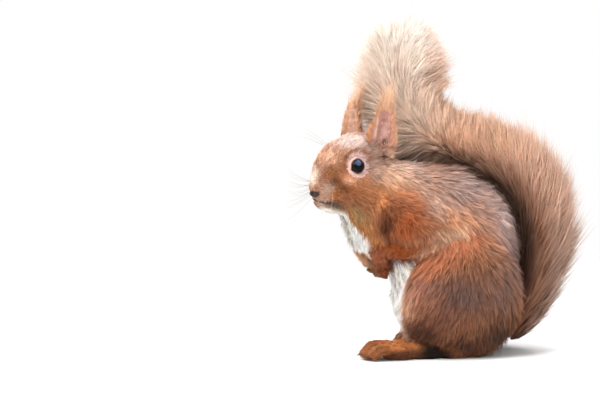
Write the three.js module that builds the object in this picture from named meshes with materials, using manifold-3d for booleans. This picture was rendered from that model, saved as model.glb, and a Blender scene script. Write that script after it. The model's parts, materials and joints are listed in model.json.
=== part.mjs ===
// A red squirrel (Sciurus vulgaris), life size, sitting up on its haunches, hands held to its chest. The tail
// lies along the back, turns forward over the shoulders and stands up behind the ears like a plume.
//
// Millimetres, +Z up. The squirrel faces -Y with its left side at +X, and its head is turned to its left.
// Every piece has the outline of the coat, fur tips included. Flesh is described by rounded masses that melt
// into one another. A piece is blown up from a ball until it meets that surface, or lofted along a line, and
// is then parted from its neighbours by thin gaps.
import * as THREE from "three";
import { mergeVertices } from "three/addons/utils/BufferGeometryUtils.js";
import Module from "manifold-3d";

const wasm = await Module();
wasm.setup();

// ---------------------------------------------------------------- driving dimensions
const GAP = 0.35; // between two pieces that touch
const MELT = 9; // how far two masses of flesh reach to melt into one another
const FACE_MELT = 5;
const FOOT_MELT = 4;

const HEAD_AT = [8, -59, 110.8]; // between the eyes
const HEAD_TURN = 32; // degrees to its left
const CHEST_AT = [0, -28, 78];
const CHEST_TURN = 12;

const EYE = { at: [12.2, -1.6, -0.6], radius: 5 };
const EAR = { at: [15.5, 14.5, 9], lean: [0, 0.13, 1], sunk: 5, height: 38 };
// The left ear listens to its side, the right one to the front.
const EAR_FACING = { left: [0.93, -0.37, 0], right: [0, -1, 0] };
// The ear from root to tip: half its width, how deep its bowl is, and how thick its furred skin is.
const EAR_WIDTHS = [7.2, 8.6, 8.5, 7.6, 6, 4.8, 4.3, 3.4, 1.2];
const EAR_BOWLS = [4, 5, 4.5, 3, 1.5, 0.5, 0, 0, 0];
const EAR_SKINS = [3.3, 2.6, 2.4, 2.2, 2, 1.8, 1.5, 1.2, 0.6];

// Each hind leg is placed by how far back its haunch sits, its heel, and how far the foot turns out.
const LEGS = {
  left: { side: 1, back: 0, heel: [27, 4, 0], turn: 3 },
  right: { side: -1, back: 5, heel: [-27, 31, 0], turn: -5 },
};
const TOES = [-6.4, -3.4, 0, 3.4, 6.4]; // sideways from the middle of the foot
const TOE_LENGTH = 18.5;
const CLAW_LENGTH = 3;
const FINGERS = [-3.3, -1.1, 1.1, 3.3];

const ARMS = {
  left: { shoulder: [21, -36, 88], elbow: [27, -11, 67], wrist: [14, -40.5, 61], tips: [11, -37, 46.3] },
  right: { shoulder: [-20, -40, 88], elbow: [-25, -18, 66], wrist: [-3, -47.2, 60], tips: [-3, -40, 45.5] },
};

// The tail from root to tip: where its core runs, how far the fur reaches outward from the bend, inward and
// to each side.
const TAIL = [
  { core: [0, 34, 9], out: 12, inward: 8, side: 14 },
  { core: [0, 48, 34], out: 18, inward: 10, side: 24 },
  { core: [-1, 53, 60], out: 26, inward: 10, side: 28 },
  { core: [-3, 48.5, 86], out: 31, inward: 10, side: 30 },
  { core: [-8, 32, 105], out: 32, inward: 10, side: 30 },
  { core: [-15, 6, 119], out: 25, inward: 16, side: 27 },
  { core: [-21, -12, 132], out: 23, inward: 25, side: 25 },
  { core: [-24, -23, 149], out: 28, inward: 28, side: 23 },
  { core: [-24, -22.5, 167], out: 28.5, inward: 28.5, side: 22 },
  { core: [-24, -20.5, 180], out: 22.5, inward: 22.5, side: 18 },
  { core: [-24, -17.5, 189], out: 13, inward: 13, side: 11 },
  { core: [-24, -16.5, 193], out: 5, inward: 5, side: 4 },
];
const TAIL_LENGTHS = ["tail_root", "tail_lower", "tail_middle", "tail_upper", "tail_tip"];

// ---------------------------------------------------------------- masses of flesh
const vec = (p) => new THREE.Vector3(...p);
const radians = THREE.MathUtils.degToRad;

// The frame of a part of the body that is turned about the vertical.
const frameAt = (place, turn) => new THREE.Matrix4().makeRotationZ(radians(turn)).setPosition(...place);

const BODY = frameAt([0, 0, 0], 0);
const HEAD = frameAt(HEAD_AT, HEAD_TURN);
const CHEST = frameAt(CHEST_AT, CHEST_TURN);

// Distance to an ellipsoid: its centre and half-sizes in a frame, and its pitch in degrees.
function mass(frame, centre, half, pitch = 0) {
  const own = new THREE.Matrix4().makeRotationX(radians(pitch)).setPosition(...centre);
  const toOwn = frame.clone().multiply(own).invert();
  const p = new THREE.Vector3();
  return (point) => {
    p.copy(point).applyMatrix4(toOwn);
    const near = Math.hypot(p.x / half[0], p.y / half[1], p.z / half[2]);
    const slope = Math.hypot(p.x / half[0] ** 2, p.y / half[1] ** 2, p.z / half[2] ** 2);
    return slope > 0 ? (near * (near - 1)) / slope : -Math.min(...half);
  };
}

// The same mass on both sides of a frame's middle.
function pair(frame, [x, y, z], half, pitch = 0) {
  return [mass(frame, [x, y, z], half, pitch), mass(frame, [-x, y, z], half, pitch)];
}

// Distance to several masses melted together.
function melted(masses, reach) {
  return (point) =>
    masses
      .map((distance) => distance(point))
      .reduce((nearest, next) => {
        const h = Math.max(reach - Math.abs(nearest - next), 0) / reach;
        return Math.min(nearest, next) - (h * h * reach) / 4;
      });
}

// ---------------------------------------------------------------- making closed shapes
function solid(shape) {
  return new wasm.Manifold(
    new wasm.Mesh({
      numProp: 3,
      vertProperties: new Float32Array(shape.getAttribute("position").array),
      triVerts: new Uint32Array(shape.index.array),
    }),
  );
}

// A three.js shape with its corners merged, as manifold needs it.
function closed(shape) {
  shape.deleteAttribute("normal");
  shape.deleteAttribute("uv");
  return mergeVertices(shape, 1e-4);
}

// A ball blown up from a centre until each vertex lies on the surface, or beyond it by extra.
function blown({ surface, centre, detail, stretch = [1, 1, 1] }, extra = 0) {
  const FARTHEST = 160;
  const STEP = 1.5;
  const FINEST = 1e-3;
  const shape = closed(new THREE.IcosahedronGeometry(1, detail));
  const places = shape.getAttribute("position");
  const ray = new THREE.Vector3();
  const at = new THREE.Vector3();
  const isInside = (far) => surface(at.copy(vec(centre)).addScaledVector(ray, far)) < extra;
  for (let i = 0; i < places.count; i++) {
    ray.fromBufferAttribute(places, i).multiply(vec(stretch)).normalize();
    let inside = FARTHEST;
    while (inside > 0 && !isInside(inside)) inside -= STEP;
    let outside = inside + STEP;
    while (outside - inside > FINEST) {
      const middle = (inside + outside) / 2;
      if (isInside(middle)) inside = middle;
      else outside = middle;
    }
    places.setXYZ(i, ...at.copy(vec(centre)).addScaledVector(ray, inside));
  }
  return solid(shape);
}

// A closed skin over a row of rings, each ring the same number of points.
function lofted(rings) {
  const sides = rings[0].length;
  const middle = (ring) => ring.reduce((sum, p) => sum.add(p), new THREE.Vector3()).divideScalar(sides);
  const points = [middle(rings[0]), ...rings.flat(), middle(rings.at(-1))];
  const id = (ring, side) => 1 + ring * sides + (side % sides);
  const last = rings.length - 1;
  const faces = [];
  for (let s = 0; s < sides; s++) {
    faces.push(0, id(0, s + 1), id(0, s));
    for (let r = 0; r < last; r++) {
      faces.push(id(r, s), id(r, s + 1), id(r + 1, s + 1), id(r, s), id(r + 1, s + 1), id(r + 1, s));
    }
    faces.push(points.length - 1, id(last, s), id(last, s + 1));
  }
  const shape = new THREE.BufferGeometry().setFromPoints(points);
  shape.setIndex(faces);
  const made = solid(shape);
  if (made.volume() > 0) return made;
  shape.setIndex(faces.reverse());
  return solid(shape);
}

// A value along a list of stations, at a share from 0 to 1.
function along(values, share) {
  const spot = share * (values.length - 1);
  const k = Math.min(Math.floor(spot), values.length - 2);
  return THREE.MathUtils.lerp(values[k], values[k + 1], spot - k);
}

const steps = (count) => Array.from({ length: count }, (_, i) => i / (count - 1));
const turns = (count) => Array.from({ length: count }, (_, i) => (2 * Math.PI * i) / count);

// A round limb, finger or claw through places, with a radius at each place.
function limb(places, radii, { sides = 8, rings = 7, grow = 0 } = {}) {
  const line = new THREE.CatmullRomCurve3(places.map(vec), false, "centripetal");
  const { normals, binormals } = line.computeFrenetFrames(rings - 1);
  return lofted(
    steps(rings).map((share, i) => {
      const radius = along(radii, share) + grow;
      return turns(sides).map((angle) =>
        line
          .getPointAt(share)
          .addScaledVector(normals[i], radius * Math.cos(angle))
          .addScaledVector(binormals[i], radius * Math.sin(angle)),
      );
    }),
  );
}

// ---------------------------------------------------------------- joining and cutting
const cut = (piece, ...cutters) => cutters.reduce((rest, cutter) => rest.subtract(cutter), piece);
const joined = (...pieces) => pieces.reduce((sum, next) => sum.add(next));

// Everything beyond a plane through a point.
function beyond(point, normal) {
  const SIZE = 500;
  const block = closed(new THREE.BoxGeometry(SIZE, SIZE, SIZE).translate(0, 0, SIZE / 2));
  const turn = new THREE.Quaternion().setFromUnitVectors(new THREE.Vector3(0, 0, 1), normal);
  return solid(block.applyQuaternion(turn).translate(...point));
}

const floor = beyond(vec([0, 0, 0]), vec([0, 0, -1]));

// The two sides of a thin cut through the body, and what each side has to lose.
function seam(at, direction) {
  const facing = vec(direction).normalize();
  const offset = facing.clone().multiplyScalar(GAP / 2);
  return {
    fromFront: beyond(vec(at).add(offset), facing.clone().negate()),
    fromBack: beyond(vec(at).sub(offset), facing),
  };
}

// ---------------------------------------------------------------- head, neck and trunk
const headMasses = [
  mass(HEAD, [0, 7, 0], [16, 19, 16.8]), // braincase
  mass(HEAD, [0, -4.4, 0.6], [13.5, 13.4, 11.8]), // brow
  mass(HEAD, [0, -13.2, -5.4], [8.5, 9.9, 10.8]), // bridge of the nose
  mass(HEAD, [0, -17.4, -12.5], [7, 7.4, 6.8]), // muzzle
  mass(HEAD, [0, -8.5, -20.5], [6.5, 10, 7]), // chin
  ...pair(HEAD, [9.5, 1, -11], [9, 14, 11.5]), // cheeks
];
const neckMasses = [
  mass(HEAD, [0, 7, -18.5], [12, 14.5, 13]), // throat
  mass(BODY, [4, -40.5, 94.5], [17, 21, 18.5], 20),
];
const trunkMasses = [
  mass(CHEST, [0, -9, -4], [18, 20.5, 25]), // breast
  mass(CHEST, [0, 4, 6], [24, 26, 28]), // shoulders
  mass(BODY, [0, -2, 68], [30, 41, 42]), // ribs and back
  mass(BODY, [0, 14, 55], [29, 30, 45]), // loins and rump
  mass(BODY, [0, -6, 40], [26, 24.5, 34]), // belly
];
const spine = melted([melted(headMasses, FACE_MELT), ...neckMasses, ...trunkMasses], MELT);

const nape = seam([2, -42.2, 96.2], [0.2, -0.74, 0.64]);
const withers = seam([2, -31.4, 91.2], [0.1, -0.69, 0.72]);

const headBlown = { surface: spine, centre: HEAD_AT, detail: 7 };
const neckBlown = { surface: spine, centre: [3, -40, 92], detail: 3 };
const trunkBlown = { surface: spine, centre: [0, 2, 58], detail: 4, stretch: [1, 1.1, 1.3] };

// ---------------------------------------------------------------- eyes and ears
const SIDES = { left: 1, right: -1 };
const EAR_SIDES = 10;
const inHead = ({ x, y, z }, side) => new THREE.Vector3(x * side, y, z).applyMatrix4(HEAD);

function eyeball(side, grow = 0) {
  const ball = closed(new THREE.SphereGeometry(EYE.radius + grow, 10, 7));
  return solid(ball.translate(...inHead(vec(EYE.at), side)));
}

// A bowl-shaped leaf that stands open to the side and the front, drawn out at its tip into a tuft of hair.
function ear(name, grow = 0) {
  const side = SIDES[name];
  const up = vec(EAR.lean).normalize();
  const across = new THREE.Vector3().crossVectors(up, vec(EAR_FACING[name])).normalize();
  const back = new THREE.Vector3().crossVectors(up, across);
  const rings = steps(EAR_WIDTHS.length).map((share, i) => {
    const middle = vec(EAR.at).addScaledVector(up, (EAR.height + EAR.sunk + grow) * share - EAR.sunk);
    return turns(EAR_SIDES).map((angle) => {
      const [edge, face] = [Math.cos(angle), Math.sin(angle)];
      const depth = EAR_BOWLS[i] * (1 - edge * edge) + (EAR_SKINS[i] / 2 + grow) * face;
      const point = middle.clone().addScaledVector(across, (EAR_WIDTHS[i] + grow) * edge);
      return inHead(point.addScaledVector(back, depth), side);
    });
  });
  return lofted(rings);
}

// ---------------------------------------------------------------- legs
function thigh({ side, back }, grow = 0) {
  const surface = melted(
    [
      mass(BODY, [22 * side, 8 + back, 37], [20, 34.5, 38]), // haunch
      mass(BODY, [26 * side, -12 + back, 29], [14, 15, 21]), // knee
    ],
    MELT,
  );
  return blown({ surface, centre: [24 * side, 6 + back, 36], detail: 4, stretch: [1, 1.2, 1.2] }, grow);
}

// A hind foot flat on the floor, heel to toes along its own -Y, with five toes that end in claws.
function foot({ heel, turn }, grow = 0) {
  const frame = frameAt(heel, turn);
  const inFoot = (place) => [...vec(place).applyMatrix4(frame)];
  const surface = melted(
    [
      mass(frame, [0, -3, 5], [6, 9, 6]), // heel
      mass(frame, [0, -20, 4.8], [6, 16, 6]), // instep
      mass(frame, [0, -34, 4.6], [7.8, 11, 6.8]), // ball
    ],
    FOOT_MELT,
  );
  const sole = blown({ surface, centre: inFoot([0, -20, 5]), detail: 2, stretch: [1, 1.7, 1] }, grow);
  const toes = TOES.map((x) => {
    const tip = -36 - TOE_LENGTH * (1 - 0.006 * x * x);
    const spread = 1.25 * x;
    const claw = [spread, tip - CLAW_LENGTH, 0.9];
    const places = [[x, -33, 6], [spread, tip + 7, 7.4], [spread, tip, 4.2], claw];
    return limb(places.map(inFoot), [2.8, 3.5, 3.8, 3.5, 0.3], { sides: 5, rings: 5, grow });
  });
  return joined(sole, ...toes);
}

// ---------------------------------------------------------------- arms
function upperArm({ shoulder, elbow }, grow = 0) {
  return limb([shoulder, elbow], [4, 10.5, 12.5, 12, 9.5, 5], { sides: 10, rings: 6, grow });
}

function forearm({ elbow, wrist }, grow = 0) {
  return limb([elbow, wrist], [4.5, 8, 7, 5.6, 4.6], { sides: 8, rings: 5, grow });
}

function palm({ wrist, tips }, grow = 0) {
  const knuckles = [...vec(wrist).lerp(vec(tips), 0.5)];
  return limb([wrist, knuckles], [4.4, 5, 4], { sides: 8, rings: 3, grow });
}

// A hand hanging from the wrist with four clawed fingers side by side.
function hand(arm) {
  const { wrist, tips } = arm;
  const sideways = vec([0.5, 0.86, 0]);
  const place = (share, offset) => [...vec(wrist).lerp(vec(tips), share).addScaledVector(sideways, offset)];
  const fingers = FINGERS.map((offset) => {
    const places = [place(0.3, offset), place(0.8, offset * 1.15), place(1.15, offset)];
    return limb(places, [2, 1.9, 1.5, 0.3], { sides: 5, rings: 4 });
  });
  return joined(palm(arm), ...fingers);
}

// The room that a hand needs in the coat of the breast.
function handRoom({ wrist, tips }) {
  const PAST_CLAWS = 1.32;
  const end = [...vec(wrist).lerp(vec(tips), PAST_CLAWS)];
  return limb([wrist, end], [5.6, 7.2, 6], { sides: 7, rings: 3 });
}

// ---------------------------------------------------------------- tail
const tailLine = new THREE.CatmullRomCurve3(TAIL.map(({ core }) => vec(core)), false, "centripetal");
const tailSizes = new THREE.CatmullRomCurve3(TAIL.map(({ out, inward, side }) => vec([out, inward, side])));

function tailRing(t) {
  const [out, inward, side] = tailSizes.getPoint(t);
  const heading = tailLine.getTangent(t);
  const aside = new THREE.Vector3(1, 0, 0).addScaledVector(heading, -heading.x).normalize();
  const outward = new THREE.Vector3().crossVectors(heading, aside);
  const centre = tailLine.getPoint(t);
  return turns(12).map((angle) => {
    const reach = Math.sin(angle) > 0 ? out : inward;
    return centre
      .clone()
      .addScaledVector(aside, side * Math.cos(angle))
      .addScaledVector(outward, reach * Math.sin(angle));
  });
}

// One of the equal lengths of the tail, stopping a gap short of the next one.
function tailLength(n) {
  const count = TAIL_LENGTHS.length;
  const gap = n + 1 < count ? (GAP / tailLine.getLength()) * count : 0;
  return lofted(steps(6).map((share) => tailRing((n + share * (1 - gap)) / count)));
}

// ---------------------------------------------------------------- the pieces, parted from one another
const forBoth = (make) => ({ left: make("left", SIDES.left), right: make("right", SIDES.right) });
const both = (made) => Object.values(made);

const grown = {
  head: blown(headBlown, GAP),
  trunk: blown(trunkBlown, GAP),
  neck: blown(neckBlown, GAP),
  eyes: forBoth((_, side) => eyeball(side, GAP)),
  ears: forBoth((name) => ear(name, GAP)),
  thighs: forBoth((name) => thigh(LEGS[name], GAP)),
  feet: forBoth((name) => foot(LEGS[name], GAP)),
  upperArms: forBoth((name) => upperArm(ARMS[name], GAP)),
  forearms: forBoth((name) => forearm(ARMS[name], GAP)),
  palms: forBoth((name) => palm(ARMS[name], GAP)),
  hands: forBoth((name) => handRoom(ARMS[name])),
};
const limbs = [...both(grown.upperArms), ...both(grown.forearms), ...both(grown.hands)];

const pieces = {
  head: cut(blown(headBlown), nape.fromFront, ...both(grown.eyes)),
  neck: cut(blown(neckBlown), nape.fromBack, withers.fromFront, ...limbs),
  trunk: cut(blown(trunkBlown), withers.fromBack, ...both(grown.thighs), ...both(grown.feet), ...limbs),
};
for (const [name, side] of Object.entries(SIDES)) {
  pieces[`eye_${name}`] = eyeball(side);
  pieces[`ear_${name}`] = cut(ear(name), grown.head);
  pieces[`thigh_${name}`] = cut(thigh(LEGS[name]), floor, grown.feet[name]);
  pieces[`foot_${name}`] = cut(foot(LEGS[name]), floor);
  pieces[`upper_arm_${name}`] = cut(upperArm(ARMS[name]), grown.forearms[name], grown.thighs[name]);
  pieces[`forearm_${name}`] = cut(forearm(ARMS[name]), grown.palms[name], grown.thighs[name]);
  pieces[`hand_${name}`] = hand(ARMS[name]);
}
const aroundTail = [grown.trunk, grown.neck, grown.head, ...both(grown.ears), ...both(grown.thighs)];
for (const [n, name] of TAIL_LENGTHS.entries()) {
  pieces[name] = cut(tailLength(n), ...aroundTail);
}

// ---------------------------------------------------------------- colours
const LOOKS = {
  eye: { color: 0x120a08, roughness: 0.1 },
  ear: { color: 0xb98a72, roughness: 0.9 },
  head: { color: 0xb98f70, roughness: 0.9 },
  foot: { color: 0xcd783c, roughness: 0.85 },
  hand: { color: 0xb5683a, roughness: 0.85 },
  tail: { color: 0xd2aa85, roughness: 0.95 },
  thigh: { color: 0x9a6a4c, roughness: 0.9 },
};
const COAT = { color: 0xb06a40, roughness: 0.9 };

function lookOf(name) {
  const part = Object.keys(LOOKS).find((key) => name.startsWith(key));
  return new THREE.MeshStandardMaterial({ ...(LOOKS[part] ?? COAT), metalness: 0 });
}

function geometryOf(made) {
  const mesh = made.getMesh();
  const shape = new THREE.BufferGeometry();
  shape.setAttribute("position", new THREE.BufferAttribute(mesh.vertProperties, 3));
  shape.setIndex(new THREE.BufferAttribute(mesh.triVerts, 1));
  shape.computeVertexNormals();
  return shape;
}

const squirrel = new THREE.Group();
for (const [name, made] of Object.entries(pieces)) {
  const mesh = new THREE.Mesh(geometryOf(made), lookOf(name));
  mesh.name = name;
  squirrel.add(mesh);
}

// Stand the squirrel with the middle of its underside at the origin.
const box = new THREE.Box3().setFromObject(squirrel);
const middle = box.getCenter(new THREE.Vector3());
squirrel.position.set(-middle.x, -middle.y, -box.min.z);

export default squirrel;
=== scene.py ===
"""A life-size red squirrel sitting up on its haunches: its skin, eyes, claws, whiskers and coat.

The coat is thousands of flat tapering hairs, rooted on one skin and laid as they grow. Sizes are in
millimetres in the squirrel's own frame: it faces -Y, and its left side is at +X.
"""

import json
import math

import bpy
import numpy as np
from mathutils import Matrix, Vector, kdtree

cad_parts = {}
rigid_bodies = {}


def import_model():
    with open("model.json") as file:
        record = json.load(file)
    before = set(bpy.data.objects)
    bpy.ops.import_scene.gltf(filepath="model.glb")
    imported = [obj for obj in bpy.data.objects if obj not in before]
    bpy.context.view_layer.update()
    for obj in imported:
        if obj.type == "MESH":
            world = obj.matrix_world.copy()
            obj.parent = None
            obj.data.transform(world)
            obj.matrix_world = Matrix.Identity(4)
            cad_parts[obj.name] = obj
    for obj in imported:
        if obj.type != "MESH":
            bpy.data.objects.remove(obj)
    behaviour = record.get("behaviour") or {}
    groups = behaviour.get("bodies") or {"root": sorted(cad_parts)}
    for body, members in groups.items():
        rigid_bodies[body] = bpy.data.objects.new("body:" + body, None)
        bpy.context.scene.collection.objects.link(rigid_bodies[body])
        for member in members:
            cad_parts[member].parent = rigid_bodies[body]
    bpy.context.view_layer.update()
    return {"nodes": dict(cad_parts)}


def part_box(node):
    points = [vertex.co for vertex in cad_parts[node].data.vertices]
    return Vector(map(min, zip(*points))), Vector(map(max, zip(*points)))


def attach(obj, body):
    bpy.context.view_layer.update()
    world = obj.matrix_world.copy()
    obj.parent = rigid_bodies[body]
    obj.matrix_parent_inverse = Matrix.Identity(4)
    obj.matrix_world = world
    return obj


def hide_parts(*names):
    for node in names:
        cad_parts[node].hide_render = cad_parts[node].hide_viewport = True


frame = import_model()

# ---------------------------------------------------------------- where the squirrel sits
# The head and the chest are turned to the animal's left, so each has a frame of its own. An eyeball of the
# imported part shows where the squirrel's own frame lies in the part's.
MM = 0.001
HEAD_AT = (8, -59, 110.8)
HEAD_TURN = 32
CHEST_AT = (0, -28, 78)
CHEST_TURN = 12
EYE_AT = np.array([12.2, -1.6, -0.6])
EYE_RADIUS = 5.0
SIDES = {"left": 1, "right": -1}


class Place:
    """A frame of part of the body, turned about the vertical."""

    def __init__(self, at, turn):
        angle = math.radians(turn)
        self.at = np.array(at, float)
        self.axes = np.array(
            [[math.cos(angle), math.sin(angle), 0], [-math.sin(angle), math.cos(angle), 0], [0, 0, 1]]
        )

    def out(self, points):
        return np.asarray(points, float) @ self.axes + self.at

    def turned(self, directions):
        return np.asarray(directions, float) @ self.axes

    def into(self, points):
        return (points - self.at) @ self.axes.T

    def heading(self, directions):
        return directions @ self.axes.T


BODY = Place((0, 0, 0), 0)
HEAD = Place(HEAD_AT, HEAD_TURN)
CHEST = Place(CHEST_AT, CHEST_TURN)

eye_low, eye_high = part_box("eye_left")
SHIFT = (np.array(eye_low) + np.array(eye_high)) / 2 / MM - HEAD.out(EYE_AT)


def metres(points):
    return (np.asarray(points, float) + SHIFT) * MM


def millimetres(points):
    return np.asarray(points, float) / MM - SHIFT


# ---------------------------------------------------------------- flesh under the coat
# The body is rounded masses that melt into one another. Each lies inside the outline of the coat by the
# depth of the fur that grows on it.
def unit(vectors):
    return vectors / np.maximum(np.linalg.norm(vectors, axis=-1, keepdims=True), 1e-9)


def melt(one, other, reach):
    h = np.maximum(reach - np.abs(one - other), 0) / reach
    return np.minimum(one, other) - h * h * reach / 4


def carve(body, hollow, reach):
    return -melt(-body, hollow, reach)


class Ball:
    """An ellipsoid of flesh in a frame, pitched about X."""

    def __init__(self, place, centre, half, depth, pitch=0.0):
        tilt = np.array(Matrix.Rotation(math.radians(pitch), 3, "X"))
        self.axes = tilt.T @ place.axes
        self.centre = place.out(centre)
        self.half = np.array(half, float) - depth

    def distance(self, points):
        near = (points - self.centre) @ self.axes.T / self.half
        size = np.linalg.norm(near, axis=1)
        slope = np.linalg.norm(near / self.half, axis=1)
        return size * (size - 1) / np.maximum(slope, 1e-6)

    def model(self):
        FINENESS = 4
        bpy.ops.mesh.primitive_ico_sphere_add(
            subdivisions=FINENESS,
            radius=1,
            location=metres(self.centre),
            rotation=Matrix(self.axes.T.tolist()).to_euler(),
            scale=self.half * MM,
        )


class Limb:
    """A round limb, toe or tail core along a line of points, with a radius at each."""

    def __init__(self, points, radii, depth):
        self.points = np.array(points, float)
        self.radii = np.interp(
            np.linspace(0, 1, len(points)), np.linspace(0, 1, len(radii)), np.array(radii, float)
        )
        self.radii = np.maximum(self.radii - depth, 0.4)

    def distance(self, points):
        nearest = None
        for i in range(len(self.points) - 1):
            start, run = self.points[i], self.points[i + 1] - self.points[i]
            share = np.clip((points - start) @ run / (run @ run), 0, 1)
            radius = self.radii[i] + share * (self.radii[i + 1] - self.radii[i])
            far = np.linalg.norm(points - start - share[:, None] * run, axis=1) - radius
            nearest = far if nearest is None else np.minimum(nearest, far)
        return nearest

    def model(self):
        STEP = 1.6
        FINENESS = 2
        for i in range(len(self.points) - 1):
            run = self.points[i + 1] - self.points[i]
            count = max(2, int(np.linalg.norm(run) / STEP))
            for share in np.linspace(0, 1, count):
                radius = self.radii[i] + share * (self.radii[i + 1] - self.radii[i])
                bpy.ops.mesh.primitive_ico_sphere_add(
                    subdivisions=FINENESS,
                    radius=radius * MM,
                    location=metres(self.points[i] + share * run),
                )


class Flesh:
    """A part of the body: its masses, how far they melt together and into the rest, and its coat."""

    def __init__(self, name, masses, reach, joins, hair, width, lift, lie):
        self.name = name
        self.masses = masses
        self.reach = reach
        self.joins = joins
        self.hair = hair
        self.width = width
        self.lift = lift
        self.lie = lie

    def distance(self, points):
        total = self.masses[0].distance(points)
        for mass in self.masses[1:]:
            total = melt(total, mass.distance(points), self.reach)
        return total


def pair(place, centre, half, depth):
    x, y, z = centre
    return [Ball(place, (x, y, z), half, depth), Ball(place, (-x, y, z), half, depth)]


def steady(*direction):
    """Hair that lies one way all over a part."""
    return lambda points: np.broadcast_to(np.array(direction, float), points.shape)


NOSE = np.array([0, -21.9, -15.4])
FACE_COAT = 1.4
NECK_COAT = 3.4
BODY_COAT = 4.4


def from_nose(points):
    own = HEAD.into(points) - NOSE * (1, 1, 0.6)
    return HEAD.turned(unit(own) + (0, 0.35, 0))


def down_neck(points):
    """The coat of the neck runs back along its sides and hangs down in front."""
    own = CHEST.into(points)
    front = np.exp(-((own[:, 0] / 10) ** 2)) * (own[:, 1] < -12)
    lie = np.tile([0, 0.8, -0.7], (len(points), 1))
    return lie + front[:, None] * (0, -1.1, -0.5)


def down_back(points):
    """The coat of the back follows the spine and turns down over the flanks."""
    side = np.abs(points[:, 0]) / 30
    lie = np.zeros_like(points)
    lie[:, 1] = 0.95 - 0.25 * side
    lie[:, 2] = -0.3 - 0.5 * side
    return lie


def over_haunch(points):
    """The coat of the haunch fans out from the hip, forward over the knee and back over the rump."""
    forward = (points[:, 1] + 26) / 52
    lie = np.zeros_like(points)
    lie[:, 1] = -0.8 + (1.1 + 0.3 * (points[:, 2] - 40) / 40) * forward
    lie[:, 2] = -1
    return lie


head = Flesh(
    "head",
    [
        Ball(HEAD, (0, 7, 0), (16, 19, 16.8), FACE_COAT),
        Ball(HEAD, (0, -4.4, 0.6), (13.5, 13.4, 11.8), FACE_COAT),
        Ball(HEAD, (0, -13.2, -5.4), (8.5, 9.9, 10.8), FACE_COAT * 0.8),
        Ball(HEAD, (0, -17.4, -12.5), (7, 7.4, 6.8), FACE_COAT * 0.5),
        Ball(HEAD, (0, -8.5, -20.5), (6.5, 10, 7), FACE_COAT * 0.2),
        Ball(HEAD, (0, -17.3, -20.2), (4.6, 4.6, 4.3), FACE_COAT * 0.5),
        *pair(HEAD, (9.5, 1, -11), (9, 14, 11.5), FACE_COAT),
    ],
    reach=5,
    joins=9,
    hair=5.0,
    width=0.25,
    lift=25,
    lie=from_nose,
)
neck = Flesh(
    "neck",
    [
        Ball(HEAD, (0, 7, -18.5), (12, 14.5, 13), NECK_COAT),
        Ball(BODY, (4, -40.5, 94.5), (17, 21, 18.5), NECK_COAT, pitch=20),
    ],
    reach=9,
    joins=9,
    hair=8,
    width=0.3,
    lift=27,
    lie=down_neck,
)
breast = Flesh(
    "breast",
    [
        Ball(CHEST, (0, -9, -4), (18, 20.5, 25), BODY_COAT),
        Ball(CHEST, (0, -21, 3), (10, 8.5, 10), BODY_COAT * 0.5),
    ],
    reach=9,
    joins=9,
    hair=10,
    width=0.3,
    lift=36,
    lie=steady(0, -0.35, -1),
)
back = Flesh(
    "back",
    [
        Ball(CHEST, (0, 4, 6), (24, 26, 28), BODY_COAT),
        Ball(BODY, (0, -2, 68), (30, 41, 42), BODY_COAT),
        Ball(BODY, (0, 14, 55), (29, 30, 45), BODY_COAT),
    ],
    reach=9,
    joins=9,
    hair=10.5,
    width=0.32,
    lift=26,
    lie=down_back,
)
belly = Flesh(
    "belly",
    [Ball(BODY, (0, -6, 40), (26, 24.5, 34), BODY_COAT)],
    reach=9,
    joins=9,
    hair=12,
    width=0.28,
    lift=44,
    lie=steady(0, -0.6, -0.8),
)

LEGS = {
    "left": {"side": 1, "back": 0, "foot": Place((27, 4, 0), 3)},
    "right": {"side": -1, "back": 5, "foot": Place((-27, 31, 0), -5)},
}
TOES = (-6.4, -3.4, 0, 3.4, 6.4)
TOE_SPREAD = 1.25
TOE_LENGTH = 18.5


def toe_tip(x):
    return -36 - TOE_LENGTH * (1 - 0.006 * x * x)


def haunch_of(leg):
    side, shift = leg["side"], leg["back"]
    masses = [
        Ball(BODY, (22 * side, 8 + shift, 37), (20, 34.5, 38), BODY_COAT),
        Ball(BODY, (26 * side, -12 + shift, 29), (14, 15, 21), BODY_COAT),
    ]
    return Flesh("haunch", masses, 9, 3.5, hair=11, width=0.32, lift=25, lie=over_haunch)


def foot_of(leg):
    """A hind foot flat on the floor: heel, instep and ball, and five arched toes."""
    place = leg["foot"]
    coat = 0.8
    sole = [
        Ball(place, (0, -3, 5), (6, 9, 6), coat),
        Ball(place, (0, -20, 4.8), (6, 16, 6), coat),
        Ball(place, (0, -34, 4.6), (7.8, 11, 6.8), coat),
    ]
    toes = []
    for x in TOES:
        spread, tip = TOE_SPREAD * x, toe_tip(x)
        line = [(x, -33, 6.0), (spread, tip + 11, 7.0), (spread, tip + 4, 6.9), (spread, tip + 1.2, 4.1)]
        toes.append(Limb(place.out(line), (2.6, 3.1, 3.5, 3.4), 0.6))
    forward = place.turned((0, -1, -0.1))
    return Flesh("foot", [*sole, *toes], 1.3, 3, hair=2.4, width=0.2, lift=20, lie=steady(*forward))


ARMS = {
    "left": {
        "shoulder": (21, -36, 88),
        "elbow": (27, -11, 67),
        "wrist": (14, -40.5, 61),
        "tips": (12, -36.8, 46.3),
        "across": (0.9, 0.43, 0),
    },
    "right": {
        "shoulder": (-20, -40, 88),
        "elbow": (-25, -18, 66),
        "wrist": (-3, -47.2, 60),
        "tips": (-3, -39, 45.3),
        "across": (0.4, 0.92, 0),
    },
}
FINGERS = (-3.7, -1.25, 1.25, 3.7)


def between(start, end, share):
    return np.array(start) + share * (np.array(end) - np.array(start))


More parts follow.
